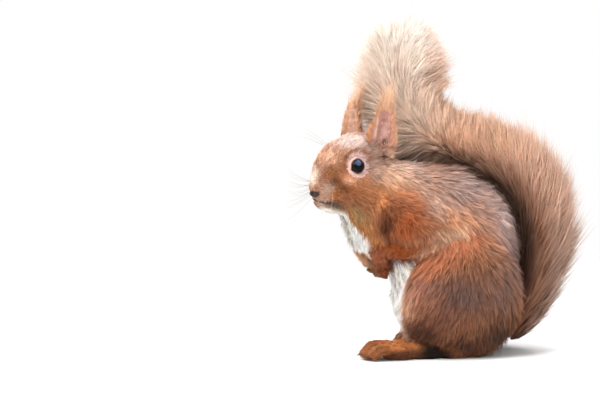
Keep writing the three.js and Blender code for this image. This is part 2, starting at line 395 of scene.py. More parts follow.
def upper_arm_of(arm):
    line = [between(arm["shoulder"], arm["elbow"], share) for share in np.linspace(0, 1, 6)]
    limb = Limb(line, (4, 10.5, 12.5, 12, 9.5, 5), 4.2)
    down = (0, 0.5, -0.85)
    return Flesh("upper_arm", [limb], 4, 11, hair=8.5, width=0.3, lift=25, lie=steady(*down))


def forearm_of(arm):
    line = [between(arm["elbow"], arm["wrist"], share) for share in np.linspace(0, 1, 5)]
    along = unit(line[-1] - line[0])
    return Flesh(
        "forearm",
        [Limb(line, (4.5, 8, 7, 5.6, 4.6), 1.8)],
        4,
        2.5,
        hair=4.6,
        width=0.22,
        lift=22,
        lie=steady(*along),
    )


def finger_line(arm, offset):
    spots = ((0.3, 0.9), (0.55, 1.0), (0.8, 0.9), (1.0, 0.7))
    across = np.array(arm["across"])
    return [between(arm["wrist"], arm["tips"], share) + across * offset * out for share, out in spots]


def hand_of(arm):
    """A hand hanging from the wrist, with four fingers side by side."""
    knuckles = between(arm["wrist"], arm["tips"], 0.5)
    palm = Limb([arm["wrist"], between(arm["wrist"], knuckles, 0.5), knuckles], (4.2, 4.3, 3.3), 0.5)
    fingers = [Limb(finger_line(arm, offset), (1.7, 1.5, 1.45, 1.15), 0.2) for offset in FINGERS]
    along = unit(np.array(arm["tips"]) - np.array(arm["wrist"]))
    return Flesh("hand", [palm, *fingers], 0.7, 2, hair=1.3, width=0.14, lift=18, lie=steady(*along))


# The tail from root to tip: where its bone runs, and how far its hair reaches outward from the bend, inward
# and to each side.
TAIL_LINE = np.array(
    [
        [0, 34, 9], [0, 48, 34], [-1, 53, 60], [-3, 48.5, 86],
        [-8, 32, 105], [-15, 6, 119], [-21, -12, 132], [-24, -23, 149],
        [-24, -22.5, 167], [-24, -20.5, 180], [-24, -17.5, 189], [-24, -16.5, 193],
    ],
    float,
)
TAIL_REACH = np.array(
    [
        [12, 8, 14], [18, 10, 24], [26, 10, 28], [31, 10, 30], [32, 10, 30], [25, 16, 27],
        [23, 25, 25], [28, 28, 23], [28.5, 28.5, 22], [22.5, 22.5, 18], [13, 13, 11], [5, 5, 4],
    ],
    float,
)
BONE_END = 0.78  # the share of the tail at which the flesh ends and only hair goes on


def spline(stations, share):
    """A smooth value at a share from 0 to 1 of the way along evenly counted stations."""
    padded = np.vstack([2 * stations[0] - stations[1], stations, 2 * stations[-1] - stations[-2]])
    spot = np.clip(share, 0, 1) * (len(stations) - 1)
    k = np.minimum(spot.astype(int), len(stations) - 2)
    s = (spot - k)[:, None]
    a, b, c, d = padded[k], padded[k + 1], padded[k + 2], padded[k + 3]
    return b + 0.5 * s * (c - a + s * (2 * a - 5 * b + 4 * c - d + s * (3 * (b - c) + d - a)))


bone = spline(TAIL_LINE, np.linspace(0.02, BONE_END, 24))
tail_core = Flesh("tail_core", [Limb(bone, (6, 5.5, 5, 4.5, 4, 3.2, 2), 0)], 4, 6, 0, 0, 0, steady(0, 0, 1))

BODY_PARTS = [
    head,
    neck,
    breast,
    back,
    belly,
    *[haunch_of(leg) for leg in LEGS.values()],
    *[upper_arm_of(arm) for arm in ARMS.values()],
    *[forearm_of(arm) for arm in ARMS.values()],
    *[hand_of(arm) for arm in ARMS.values()],
    *[foot_of(leg) for leg in LEGS.values()],
    tail_core,
]

# The bare nose pad with its nostrils and cleft, and the mouth that runs back under the cheeks.
NOSE_PAD = Ball(HEAD, NOSE + (0, 0.5, -0.2), (4.0, 3.3, 2.7), 0)
NOSTRILS = pair(HEAD, (2.9, -23.0, -14.6), (1.3, 1.4, 0.8), 0)
CLEFT = Ball(HEAD, (0, -24.5, -17), (0.3, 1.2, 2.4), 0)
MOUTH_LINE = np.array([(0, -21.4, -19.6), (3.4, -18.2, -21.0), (6.8, -12.5, -21.8)])
MOUTHS = [Limb(HEAD.out(MOUTH_LINE * (side, 1, 1)), (0.6,), 0) for side in SIDES.values()]


def part_distances(points):
    return np.array([part.distance(points) for part in BODY_PARTS])


def flesh_distance(points):
    total = None
    for part in BODY_PARTS:
        own = part.distance(points)
        total = own if total is None else melt(total, own, part.joins)
    total = melt(total, NOSE_PAD.distance(points), 0.8)
    total = carve(total, CLEFT.distance(points), 0.5)
    for nostril in NOSTRILS:
        total = carve(total, nostril.distance(points), 0.5)
    for mouth in MOUTHS:
        total = carve(total, mouth.distance(points), 0.9)
    return total


def slope_of(distance, points):
    """The direction in which a distance grows, from four near points."""
    NEAR = 0.05
    corners = np.array([[1, 1, 1], [1, -1, -1], [-1, 1, -1], [-1, -1, 1]], float)
    return sum(distance(points + NEAR * corner)[:, None] * corner for corner in corners) / (4 * NEAR)


def settled(points, steps):
    """Points moved until they lie on the surface of the flesh."""
    LONGEST = 1.5
    for _ in range(steps):
        slope = slope_of(flesh_distance, points)
        far = np.clip(flesh_distance(points), -LONGEST, LONGEST)
        points = points - slope * (far / np.maximum((slope**2).sum(1), 0.25))[:, None]
    return points


# ---------------------------------------------------------------- skin
# One skin covers the whole animal. It is blown over the masses of flesh, drawn tight on them, and made finer
# where the face, hands and feet need it.
def deselect():
    if bpy.context.mode != "OBJECT":
        bpy.ops.object.mode_set(mode="OBJECT")
    bpy.ops.object.select_all(action="DESELECT")


def join(pieces, into):
    deselect()
    for piece in pieces:
        piece.select_set(True)
    bpy.context.view_layer.objects.active = into
    bpy.ops.object.join()


def coordinates(piece):
    found = np.empty(len(piece.data.vertices) * 3)
    piece.data.vertices.foreach_get("co", found)
    return millimetres(found.reshape(-1, 3))


def set_coordinates(piece, points):
    piece.data.vertices.foreach_set("co", metres(points).astype(np.float32).ravel())
    piece.data.update()


def apply_modifier(piece, kind, **settings):
    modifier = piece.modifiers.new(kind.lower(), kind)
    for name, value in settings.items():
        setattr(modifier, name, value)
    bpy.context.view_layer.objects.active = piece
    bpy.ops.object.modifier_apply(modifier=modifier.name)


def refine(piece, wanted):
    """Splits the faces whose middles are wanted, as a function of points says."""
    middles = np.empty(len(piece.data.polygons) * 3)
    piece.data.polygons.foreach_get("center", middles)
    bpy.ops.object.mode_set(mode="EDIT")
    bpy.ops.mesh.select_mode(type="FACE")
    bpy.ops.mesh.select_all(action="DESELECT")
    bpy.ops.object.mode_set(mode="OBJECT")
    piece.data.polygons.foreach_set("select", wanted(millimetres(middles.reshape(-1, 3))))
    bpy.ops.object.mode_set(mode="EDIT")
    bpy.ops.mesh.subdivide(number_cuts=1)
    bpy.ops.object.mode_set(mode="OBJECT")


def near(points, place, centre, far):
    return np.linalg.norm(place.into(points) - centre, axis=1) < far


def fine_places(points):
    """The head, the hands and the feet."""
    found = near(points, HEAD, (0, -6, -4), 27)
    for arm in ARMS.values():
        found |= near(points, BODY, between(arm["wrist"], arm["tips"], 0.6), 13)
    for leg in LEGS.values():
        found |= near(points, leg["foot"], (0, -40, 4), 19)
    return found


def finest_places(points):
    """Round the eyes, the nose and the mouth."""
    found = near(points, HEAD, NOSE, 8)
    for side in SIDES.values():
        found |= near(points, HEAD, EYE_AT * (side, 1, 1), 9.5)
    return found


deselect()
for part in BODY_PARTS:
    for mass in part.masses:
        mass.model()
        if mass is head.masses[0]:
            first = bpy.context.active_object
join([made for made in bpy.context.scene.objects if made.name.startswith("Icosphere")], first)
skin = bpy.context.active_object
skin.name = "skin"
bpy.ops.object.transform_apply(location=True, rotation=True, scale=True)
VOXEL = 1.15
apply_modifier(skin, "REMESH", mode="VOXEL", voxel_size=VOXEL * MM)
set_coordinates(skin, settled(coordinates(skin), 5))
refine(skin, fine_places)
refine(skin, finest_places)
set_coordinates(skin, settled(coordinates(skin), 3))

# Each eye lies in a socket with a raised lid round it, drawn out to a point towards the nose.
EYE_FACING = unit(np.array([0.93, -0.33, 0.14]))
EYE_FORWARD = unit(np.array([-0.33, -0.93, 0.0]))
EYE_UP = unit(np.cross(EYE_FORWARD, EYE_FACING))
EYE_UP = EYE_UP * np.sign(EYE_UP[2])
LID_OPENING = 47.0
INNER_CORNER = (-32.0, 13.0, 15.0)  # where it is round the eye, how far it is drawn out, how wide it is
OUTER_CORNER = (165.0, 3.0, 20.0)
LID_HEIGHT = 5.8
SOCKET = 4.4  # how far the skin behind the eyeball lies from its centre


def smooth_step(value, low, high):
    share = np.clip((value - low) / (high - low), 0, 1)
    return share * share * (3 - 2 * share)


def about_eye(points, side):
    """How far points are from an eye's centre, and how many degrees beyond the opening of its lids."""
    own = (HEAD.into(points) - EYE_AT * (side, 1, 1)) * (side, 1, 1)
    far = np.linalg.norm(own, axis=1)
    ray = own / np.maximum(far, 1e-6)[:, None]
    off = np.degrees(np.arccos(np.clip(ray @ EYE_FACING, -1, 1)))
    around = np.degrees(np.arctan2(ray @ EYE_UP, ray @ EYE_FORWARD))
    opening = np.full(len(points), LID_OPENING)
    for where, drawn, wide in (INNER_CORNER, OUTER_CORNER):
        turn = (around - where + 180) % 360 - 180
        opening += drawn * np.exp(-((turn / wide) ** 2))
    return far, off - opening


def with_lids(points):
    """Near an eye, the skin dips behind the eyeball inside the lids and stands up as a rim round it."""
    for side in SIDES.values():
        far, beyond = about_eye(points, side)
        rim = EYE_RADIUS + (LID_HEIGHT - EYE_RADIUS) * smooth_step(beyond, 0.5, 5)
        rim = rim - 0.035 * np.maximum(beyond - 9, 0)
        own = np.maximum(rim, far)
        lid = rim + (own - rim) * smooth_step(beyond, 5, 22)
        lid = np.where(beyond < 0.5, SOCKET, lid)
        moved = (far < 13) & (beyond < 60)
        ratio = np.where(moved, lid / np.maximum(far, 1e-6), 1)
        centre = HEAD.out(EYE_AT * (side, 1, 1))
        points = centre + (points - centre) * ratio[:, None]
    return points


shaped = with_lids(coordinates(skin))
FLOOR_GAP = 0.05
shaped[:, 2] = np.maximum(shaped[:, 2], FLOOR_GAP)
set_coordinates(skin, shaped)

# ---------------------------------------------------------------- ears
# Each ear is a thin leaf of skin, cupped like a spoon and open to the side and the front. It grows out of the
# back of the crown and is one with the skin.
EAR_ROOT = np.array([15.5, 14.5, 9])
EAR_UP = unit(np.array([0, 0.13, 1]))
EAR_FACING = {"left": (0.93, -0.37, 0), "right": (0, -1, 0)}
EAR_HEIGHTS = (-5, 0.5, 6, 11, 15.5, 18.8, 20.6, 21.6)
EAR_WIDTHS = (6.4, 7.6, 7.5, 6.8, 5.6, 4.3, 2.8, 0.1)
EAR_BOWLS = (4, 5, 4.7, 3.8, 2.6, 1.6, 0.8, 0)
EAR_SKINS = (2.6, 1.7, 1.4, 1.2, 1.1, 1.0, 0.8, 0.1)


def ear_axes(name):
    """The ways up, across and back of an ear in the head's frame, as if it were the left one."""
    across = unit(np.cross(EAR_UP, EAR_FACING[name]))
    return EAR_UP, across, np.cross(EAR_UP, across)


def ear_point(name, share, angle):
    """A point of an ear in the head's frame, by share of its height and the turn round it."""
    stations = np.stack([EAR_HEIGHTS, EAR_WIDTHS, EAR_BOWLS, EAR_SKINS], 1)
    height, width, bowl, thick = spline(stations, share).T
    edge, face = np.cos(angle), np.sin(angle)
    roll = 1.3 * smooth_step(np.abs(edge), 0.72, 1) * smooth_step(height, 0, 7)
    ridge = 1.1 * np.exp(-(((edge + 0.34 + 0.02 * height) / 0.13) ** 2)) * smooth_step(height, 1, 6)
    ridge += 0.5 * np.exp(-(((edge - 0.5) / 0.1) ** 2)) * smooth_step(height, 3, 9)
    ridge += 0.22 * np.sin(1.5 * height + 2.2 * edge) * smooth_step(height, 7, 11)
    ridge *= smooth_step(-face, 0.2, 0.8) * smooth_step(height, 20, 15)
    hollow = 1.3 * np.exp(-(((edge - 0.3) / 0.22) ** 2) - ((height - 3.0) / 2.4) ** 2) * (face < 0)
    depth = bowl * (1 - edge * edge) + np.maximum(thick, 0.1) / 2 * face * (1 + roll) - ridge + hollow * 0.5
    up, across, back = ear_axes(name)
    return (
        EAR_ROOT
        + up * height[:, None]
        + across * (np.maximum(width, 0.05) * edge)[:, None]
        + back * depth[:, None]
    )


for name, side in SIDES.items():
    deselect()
    bpy.ops.mesh.primitive_uv_sphere_add(segments=64, ring_count=56, radius=1)
    ear = bpy.context.active_object
    ear.name = f"ear_leaf_{name}"
    ball = np.empty(len(ear.data.vertices) * 3)
    ear.data.vertices.foreach_get("co", ball)
    x, y, z = ball.reshape(-1, 3).T
    placed = ear_point(name, np.arccos(np.clip(-z, -1, 1)) / math.pi, np.arctan2(y, x))
    set_coordinates(ear, HEAD.out(placed * (side, 1, 1)))
    bpy.ops.object.mode_set(mode="EDIT")
    bpy.ops.mesh.select_all(action="SELECT")
    bpy.ops.mesh.remove_doubles(threshold=0.02 * MM)
    bpy.ops.mesh.normals_make_consistent(inside=False)
    bpy.ops.object.mode_set(mode="OBJECT")
    join([skin, ear], skin)

# The unwrap of the skin serves the coat too: each hair takes its place on it from its root.
deselect()
skin.select_set(True)
bpy.context.view_layer.objects.active = skin
while skin.data.uv_layers:
    skin.data.uv_layers.remove(skin.data.uv_layers[0])
skin.data.uv_layers.new(name="OFBake")
bpy.ops.object.mode_set(mode="EDIT")
bpy.ops.mesh.select_all(action="SELECT")
bpy.ops.uv.smart_project(angle_limit=math.radians(70), island_margin=0.002)
bpy.ops.object.mode_set(mode="OBJECT")
bpy.ops.object.shade_smooth()

# ---------------------------------------------------------------- markings
# A red squirrel is rufous on the cheeks, shoulders, forearms and feet, grey-brown on the back and haunches,
# pale round the eyes, and white from the chin to the belly. Skin and coat take their colour from here.
WHITE = "f1eeea"


def tint(code):
    """A colour in linear light from its hexadecimal code."""
    shown = np.array([int(code[i : i + 2], 16) for i in (0, 2, 4)]) / 255
    return np.where(shown <= 0.04045, shown / 12.92, ((shown + 0.055) / 1.055) ** 2.4)


# Soft patches of colour: the frame, the place on the left side, how far it spreads, its colour and strength.
PATCHES = (
    (BODY, (11, -25, 110), (16, 14, 8), "dabfb2", 0.85),  # nape
    (BODY, (20, -33, 104), (10, 11, 9), "e2b897", 0.85),  # side of the neck
    (BODY, (14, 10, 102), (24, 26, 18), "b2978e", 0.95),  # back
    (BODY, (13, 34, 86), (22, 18, 22), "d2bab4", 0.9),  # rump
    (BODY, (18, 38, 60), (22, 12, 18), "9a7f78", 0.8),  # back of the rump
    (BODY, (20, -16, 99), (10, 10, 8), "cfa893", 0.8),  # top of the shoulder
    (BODY, (24, -12, 90), (9, 9, 7), "cda996", 0.85),  # behind the shoulder
    (BODY, (27, 12, 88), (9, 12, 7), "b78b79", 0.8),  # side
    (BODY, (28, 0, 84), (9, 9, 6), "e8a678", 0.9),  # flank
    # painted light: the fold over the haunch and behind it is painted paler, lifting the shade between arm
    # and haunch
    (BODY, (29, -6, 73), (9, 10, 5), "dcb294", 0.9),  # fold over the haunch
    (BODY, (28, 12, 78), (8, 12, 4), "d6a88b", 0.8),  # fold behind it
    (BODY, (23, -30, 94), (11, 10, 8), "bd7a54", 0.85),  # shoulder
    (BODY, (33, -29, 81), (10, 10, 11), "a85324", 0.92),  # upper arm
    (BODY, (35, -18, 72), (9, 9, 7), "a3674a", 0.85),  # elbow
    # painted shade: the hollow between breast and arm is painted near black
    (BODY, (24.5, -38.5, 79), (5.5, 5, 13), "4a1c07", 0.94),  # hollow between breast and arm
    (BODY, (34, -8, 62), (12, 11, 8), "c07853", 0.9),  # top of the thigh
    (BODY, (32, -26, 44), (12, 7, 19), "dcae92", 0.9),  # front of the thigh
    (BODY, (38, -14, 50), (12, 9, 14), "a06e60", 0.8),  # thigh behind it
    (BODY, (42, 6, 44), (14, 15, 15), "604c49", 0.9),  # middle of the thigh
    (BODY, (38, 28, 46), (14, 13, 18), "72574f", 0.85),  # back of the thigh
    (BODY, (40, -3, 30), (14, 14, 8), "7f5140", 0.8),  # lower thigh
    # painted shade under the haunch: the knee, the underside of the thigh and the rump below are painted dark
    (BODY, (36, -13.5, 21), (13, 10, 11), "402012", 0.93),  # knee
    (BODY, (36, 8, 13), (18, 17, 10), "43241a", 0.9),  # underside of the thigh
    (BODY, (33, 28, 20), (18, 14, 12), "33211a", 0.9),  # under the rump
    (HEAD, (7, -4, 13), (12, 13, 7), "e8d3ca", 0.9),  # crown
    (HEAD, (5, -17, 4), (7, 6, 6), "e2b194", 0.95),  # forehead
    (HEAD, (12, -11, 5), (5, 7, 3.5), "b9825f", 0.7),  # brow
    (HEAD, (8, -17.8, -4), (3.5, 5, 5), "9a6038", 0.85),  # side of the nose
    (HEAD, (9, -15.5, -9), (2.4, 4, 3), "5f3316", 0.85),  # dark stroke over the whiskers
    (HEAD, (14, -10.6, -13), (3, 4, 2.2), "7d451f", 0.8),  # its end on the cheek
    (HEAD, (0, -22.6, -6.5), (3.2, 4.5, 5.5), "f4ddce", 0.95),  # bridge of the nose
    (HEAD, (6.6, -19.5, -13.5), (4, 4, 4.4), "c39f8b", 0.9),  # whisker pad
    (HEAD, (8.2, -16.6, -13.4), (2.6, 2.8, 2.2), "cbaa94", 0.9),  # back of the whisker pad
    (HEAD, (9, -16.8, -9.4), (2.4, 3, 1.6), "6b3c1c", 0.8),  # dark line above the pad
    (HEAD, (11.5, -13.4, -12.2), (2.6, 3.2, 1.7), "6b3c1c", 0.85),  # and behind it
    (HEAD, (8.2, -14.6, -17), (3.2, 3.6, 2.6), "d37b33", 0.95),  # corner of the mouth
    (HEAD, (16.5, -8, -8), (5, 5, 3), "d6a081", 0.85),  # under the eye
    (HEAD, (18, -3, -13), (7, 7, 5), "ad6b40", 0.8),  # cheek
    (HEAD, (19, 6, -14), (6, 7, 6), "c98c61", 0.8),  # back of the cheek
    (HEAD, (19, 7, 1), (6, 6, 8), "bda195", 0.9),  # behind the eye
    (HEAD, (16, 9, 8), (5, 5, 5), "a2897f", 0.75),  # before the ear
    (HEAD, (15, 19, 3), (6, 4, 6), "cfa98c", 0.7),  # behind the ear
    (HEAD, (14.5, 15, 6.5), (5, 4.4, 4), "b98f80", 0.85),  # foot of the ear
    # painted shade: the recess of the notch under the ear is painted dark
    (HEAD, (15.2, 15.6, 3.4), (4, 1.7, 3.4), "4f332b", 0.85),  # notch under the ear
    (HEAD, (17, 12, -18), (8, 9, 8), "bd7442", 0.7),  # jaw
    (HEAD, (0, -18.5, -20.5), (6, 4, 3.5), "b5a598", 0.85),  # lips
    (HEAD, (5.5, -12, -22.8), (4.2, 5.4, 3), "51443a", 0.92),  # dark edge of the lower lip
    (HEAD, (10, -3, -27.5), (6, 8, 5), "a88a5c", 0.9),  # throat
    (HEAD, (13, 3, -34), (4, 6, 6), "b27a42", 0.85),  # side of the throat
)


def markings(points, facing):
    """The colour of the coat at points of the skin that face given ways."""
    colour = np.tile(tint("a66a46"), (len(points), 1))

    def lay(code, amount):
        colour[:] += (tint(code) - colour) * np.clip(amount, 0, 1)[:, None]

    own = {}
    for place in (BODY, HEAD, CHEST):
        own[place] = place.into(points)
        own[place][:, 0] = np.abs(own[place][:, 0])
    for place, spot, spread, code, strength in PATCHES:
        far = (((own[place] - spot) / spread) ** 2).sum(1)
        lay(code, strength * np.exp(-(far**1.25)))

    in_head, in_chest = own[HEAD], own[CHEST]
    forward = -CHEST.heading(facing)[:, 1]
    down = -facing[:, 2]
    low = smooth_step(points[:, 2], 84, 74)
    widest = 5.5 + 4.5 * low
    bib = smooth_step(forward, 0.05, 0.4) * smooth_step(in_chest[:, 0], widest + 1.5, widest - 1.5)
    bib *= smooth_step(points[:, 2], 98, 88) * smooth_step(points[:, 1], -22, -34)
    edge = smooth_step(forward, -0.2, 0.1) * smooth_step(in_chest[:, 0], widest + 5, widest + 2)
    edge *= smooth_step(points[:, 2], 96, 84) * smooth_step(points[:, 2], 60, 70)
    lay("b0713a", 0.8 * edge * smooth_step(points[:, 1], -36, -44))
    lay(WHITE, bib)
    belly_front = smooth_step(points[:, 1], -16, -23) * smooth_step(np.abs(points[:, 0]), 26, 19)
    lay("f4efe9", belly_front * smooth_step(points[:, 2], 68, 61))
    inner = smooth_step(-np.sign(points[:, 0]) * facing[:, 0], 0.1, 0.6) * smooth_step(points[:, 2], 60, 50)
    lay("e2d6cc", 0.8 * inner * smooth_step(points[:, 1], 5, -15))
    under = smooth_step(down, 0.0, 0.5) * smooth_step(in_head[:, 0], 6, 2.5)
    under *= smooth_step(in_head[:, 2], -22, -25) * smooth_step(in_head[:, 1], 30, 10)
    lay("e9e2d8", under)

    lay("e6c8b0", smooth_step(points[:, 2], 122, 138) * smooth_step(points[:, 0], -8, -15))

    before_fold, over_fold = points[:, 1] + 24, points[:, 2] - 57
    along_fold = (before_fold * 24 + over_fold * 16) / 28.8
    above_fold = (over_fold * 24 - before_fold * 16) / 28.8
    # painted light: a pale line along the ridge of the fold over the haunch, as if light caught it
    painted_light_on_fold = np.exp(-(((above_fold - 1) / 1.8) ** 2)) * smooth_step(np.abs(along_fold - 17), 24, 15)
    painted_light_on_fold *= smooth_step(np.abs(points[:, 0]), 14, 20) * smooth_step(points[:, 1], 20, 8)
    behind_elbow = smooth_step(above_fold, 2, -2) * smooth_step(along_fold, 2, 9)
    behind_elbow = behind_elbow * smooth_step(along_fold, 50, 36)
    at_side = smooth_step(np.abs(points[:, 0]), 18, 24)
    lay("bd7450", 0.8 * behind_elbow * at_side * smooth_step(above_fold, -16, -9))
    lay("dcb898", 0.75 * painted_light_on_fold * smooth_step(along_fold, -6, 4))

    for name, leg in LEGS.items():
        foot_own = leg["foot"].into(points)
        on_foot = smooth_step(points[:, 2], 15, 11) * smooth_step(foot_own[:, 1], 4, -8)
        on_foot *= smooth_step(np.abs(foot_own[:, 0]), 14, 10)
        lay("d0834c" if name == "left" else "dcae8e", on_foot)
        lay("b9744a", on_foot * smooth_step(foot_own[:, 1], -38, -46) * 0.7)
        # painted shade: the toes are painted dark brown low down, near the floor
        painted_shade_under_toes = 0.85 * on_foot * smooth_step(points[:, 2], 8, 4.5)
        lay("5e3421", painted_shade_under_toes * smooth_step(foot_own[:, 1], -45, -38))
        # painted shadow of the thigh: the rear half of the foot is painted near black
        lay("180a04", 0.97 * on_foot * smooth_step(foot_own[:, 1], -26, -16))
        # painted shade in the gaps between the toes
        between_toes = np.abs((foot_own[:, 0] / TOE_SPREAD + 6.4 + 1.6) % 3.25 - 1.6)
        painted_shade_between_toes = 0.6 * on_foot * smooth_step(between_toes, 0.9, 1.5)
        lay("5d3018", painted_shade_between_toes * smooth_step(foot_own[:, 1], -38, -42))
    for name, arm in ARMS.items():
        hand = Limb([arm["elbow"], arm["wrist"], arm["tips"]], (8, 5), 0).distance(points)
        on_hand = smooth_step(hand, 1.2, -0.6) * smooth_step(points[:, 1], -11, -23)
        if name == "right":
            on_hand = np.maximum(on_hand, smooth_step(hand, 5, 2) * smooth_step(points[:, 1], -40, -45))
        lay("95450c" if name == "left" else "d29a72", 0.95 * on_hand)
        fingers = smooth_step(points[:, 2], arm["wrist"][2] - 3, arm["tips"][2] + 4)
        lay("743611" if name == "left" else "84502c", 0.85 * on_hand * fingers)

    for side in SIDES.values():
        own_eye = (HEAD.into(points) - EYE_AT * (side, 1, 1)) * (side, 1, 1)
        along_sight = own_eye @ EYE_FACING
        aside = np.linalg.norm((own_eye - along_sight[:, None] * EYE_FACING) / (1, 1, 1.1), axis=1)
        before = along_sight > -2
        # painted shade under the brow: a dark brown band round the top of the pale eye ring
        lay("8a5a42", 0.7 * before * np.exp(-(((aside - 7.4) / 1.0) ** 2)) * smooth_step(own_eye[:, 2], 0, 4))
        lay("d3b0a8", 0.97 * before * smooth_step(aside, 6.3, 5.4))
        lay("2b1a16", 0.9 * before * smooth_step(aside, 4.5, 4.0))
    return colour


def bare_nose(points):
    """How bare the skin is: 1 on the nose pad and the lips, 0 in the coat."""
    pad = smooth_step(NOSE_PAD.distance(points), 0.5, 0.0)
    lips = smooth_step(np.minimum(*[mouth.distance(points) for mouth in MOUTHS]), 0.7, 0.2)
    return np.maximum(pad, 0.8 * lips)


def about_ear(points):
    """The ear on each point's side: its ways up, across and back, and the point's place on them."""
    on_left = HEAD.into(points)[:, :1] > 0
    ways = []
    for axis in range(3):
        left, right = (HEAD.turned(ear_axes(name)[axis] * (side, 1, 1)) for name, side in SIDES.items())
        ways.append(np.where(on_left, left, right))
    left, right = (HEAD.out(EAR_ROOT * (side, 1, 1)) for side in SIDES.values())
    own = points - np.where(on_left, left, right)
    return ways, [(own * way).sum(1) for way in ways]


def is_ear(points):
    height, across, back = about_ear(points)[1]
    return (height > 1) & (np.abs(across) < 9.5) & (back > -3) & (back < 9)


def skin_arrays(piece):
    """Corner points, facings and unwrap places of a mesh's triangles."""
    mesh = piece.data
    mesh.calc_loop_triangles()
    count = len(mesh.loop_triangles)
    corners = np.empty(count * 3, np.int32)
    mesh.loop_triangles.foreach_get("vertices", corners)
    loops = np.empty(count * 3, np.int32)
    mesh.loop_triangles.foreach_get("loops", loops)
    facing = np.empty(len(mesh.vertices) * 3)
    mesh.vertices.foreach_get("normal", facing)
    uv = np.empty(len(mesh.loops) * 2)
    mesh.uv_layers["OFBake"].data.foreach_get("uv", uv)
    return (
        corners.reshape(-1, 3),
        coordinates(piece),
        facing.reshape(-1, 3),
        uv.reshape(-1, 2)[loops].reshape(-1, 3, 2),
    )


corners, skin_points, skin_facing, skin_uv = skin_arrays(skin)
ways, (height, across_ear, _) = about_ear(skin_points)
on_ear = is_ear(skin_points)
bowl = smooth_step(-(skin_facing * ways[2]).sum(1), 0.0, 0.5)
far_ear = (HEAD.into(skin_points)[:, :1] < 0) * 1.0
inner = tint("ad7d73") * (1 - far_ear) + tint("c69a81") * far_ear


def paint_ear_light_and_shade(code, strength, height_at, across_at, tall, wide):
    """Lays a soft patch of painted light and shade inside the ears, darker in folds and paler on ridges."""
    far = ((height - height_at) / tall) ** 2 + ((across_ear - across_at) / wide) ** 2
    inner[:] += (tint(code) - inner) * (strength * np.exp(-far))[:, None]


# bottom of the bowl; paler along a ridge and at the front edge
# painted light and shade in the ears: darker near the top, along a fold, at the rear edge and deep in the
paint_ear_light_and_shade("845a50", 0.75, 16.5, 0.4, 4, 1.6)
paint_ear_light_and_shade("94685e", 0.6, 9, -1.5, 6, 1.0)
paint_ear_light_and_shade("c19a92", 0.7, 9, 1.4, 5, 1.5)
paint_ear_light_and_shade("d3ab98", 0.85, 10, -4.6, 9, 1.3)
paint_ear_light_and_shade("8a5d50", 0.7, 10, 4.6, 8, 1.0)
paint_ear_light_and_shade("3f2620", 0.95, 4.0, 2.3, 2.2, 1.7)
paint_ear_light_and_shade("5a382f", 0.9, 0, 1.7, 3.2, 1.3)
outer = tint("b9835f")
ear_colour = outer + (inner - outer) * bowl[:, None]
skin_colour = markings(skin_points, skin_facing)
skin_colour[on_ear] = ear_colour[on_ear]
bare = bare_nose(skin_points)
nose_top = smooth_step(HEAD.into(skin_points)[:, 2], NOSE[2] - 0.8, NOSE[2] + 1.6)[:, None]
skin_colour += (tint("24130f") + (tint("50362e") - tint("24130f")) * nose_top - skin_colour) * bare[:, None]


def set_colour(mesh, colour):
    layer = mesh.color_attributes.new("coat_colour", "FLOAT_COLOR", "POINT")
    rgba = np.ones((len(colour), 4), np.float32)
    rgba[:, :3] = np.clip(colour, 0, 1)
    layer.data.foreach_set("color", rgba.ravel())


def set_value(mesh, name, numbers):
    layer = mesh.attributes.new(name, "FLOAT", "POINT")
    layer.data.foreach_set("value", numbers.astype(np.float32))


set_colour(skin.data, skin_colour)
set_value(skin.data, "bare", bare)


class Value:
    """A shader value on which Python's arithmetic adds Math nodes."""

    def __init__(self, finish, socket):
        self.finish = finish
        self.socket = socket

    def maths(self, operation, one, other):
        made = self.finish.node("ShaderNodeMath", {"operation": operation}, {0: one, 1: other})
        return made.value("Value")

    def __add__(self, other):
        return self.maths("ADD", self, other)

    __radd__ = __add__

    def __mul__(self, other):
        return self.maths("MULTIPLY", self, other)

    __rmul__ = __mul__

    def __sub__(self, other):
        return self.maths("SUBTRACT", self, other)

    def __rsub__(self, other):
        return self.maths("SUBTRACT", other, self)


class Made:
    """A node just made, from which values are taken."""

    def __init__(self, finish, node):
        self.finish = finish
        self.own = node

    def value(self, output):
        return Value(self.finish, self.own.outputs[output])


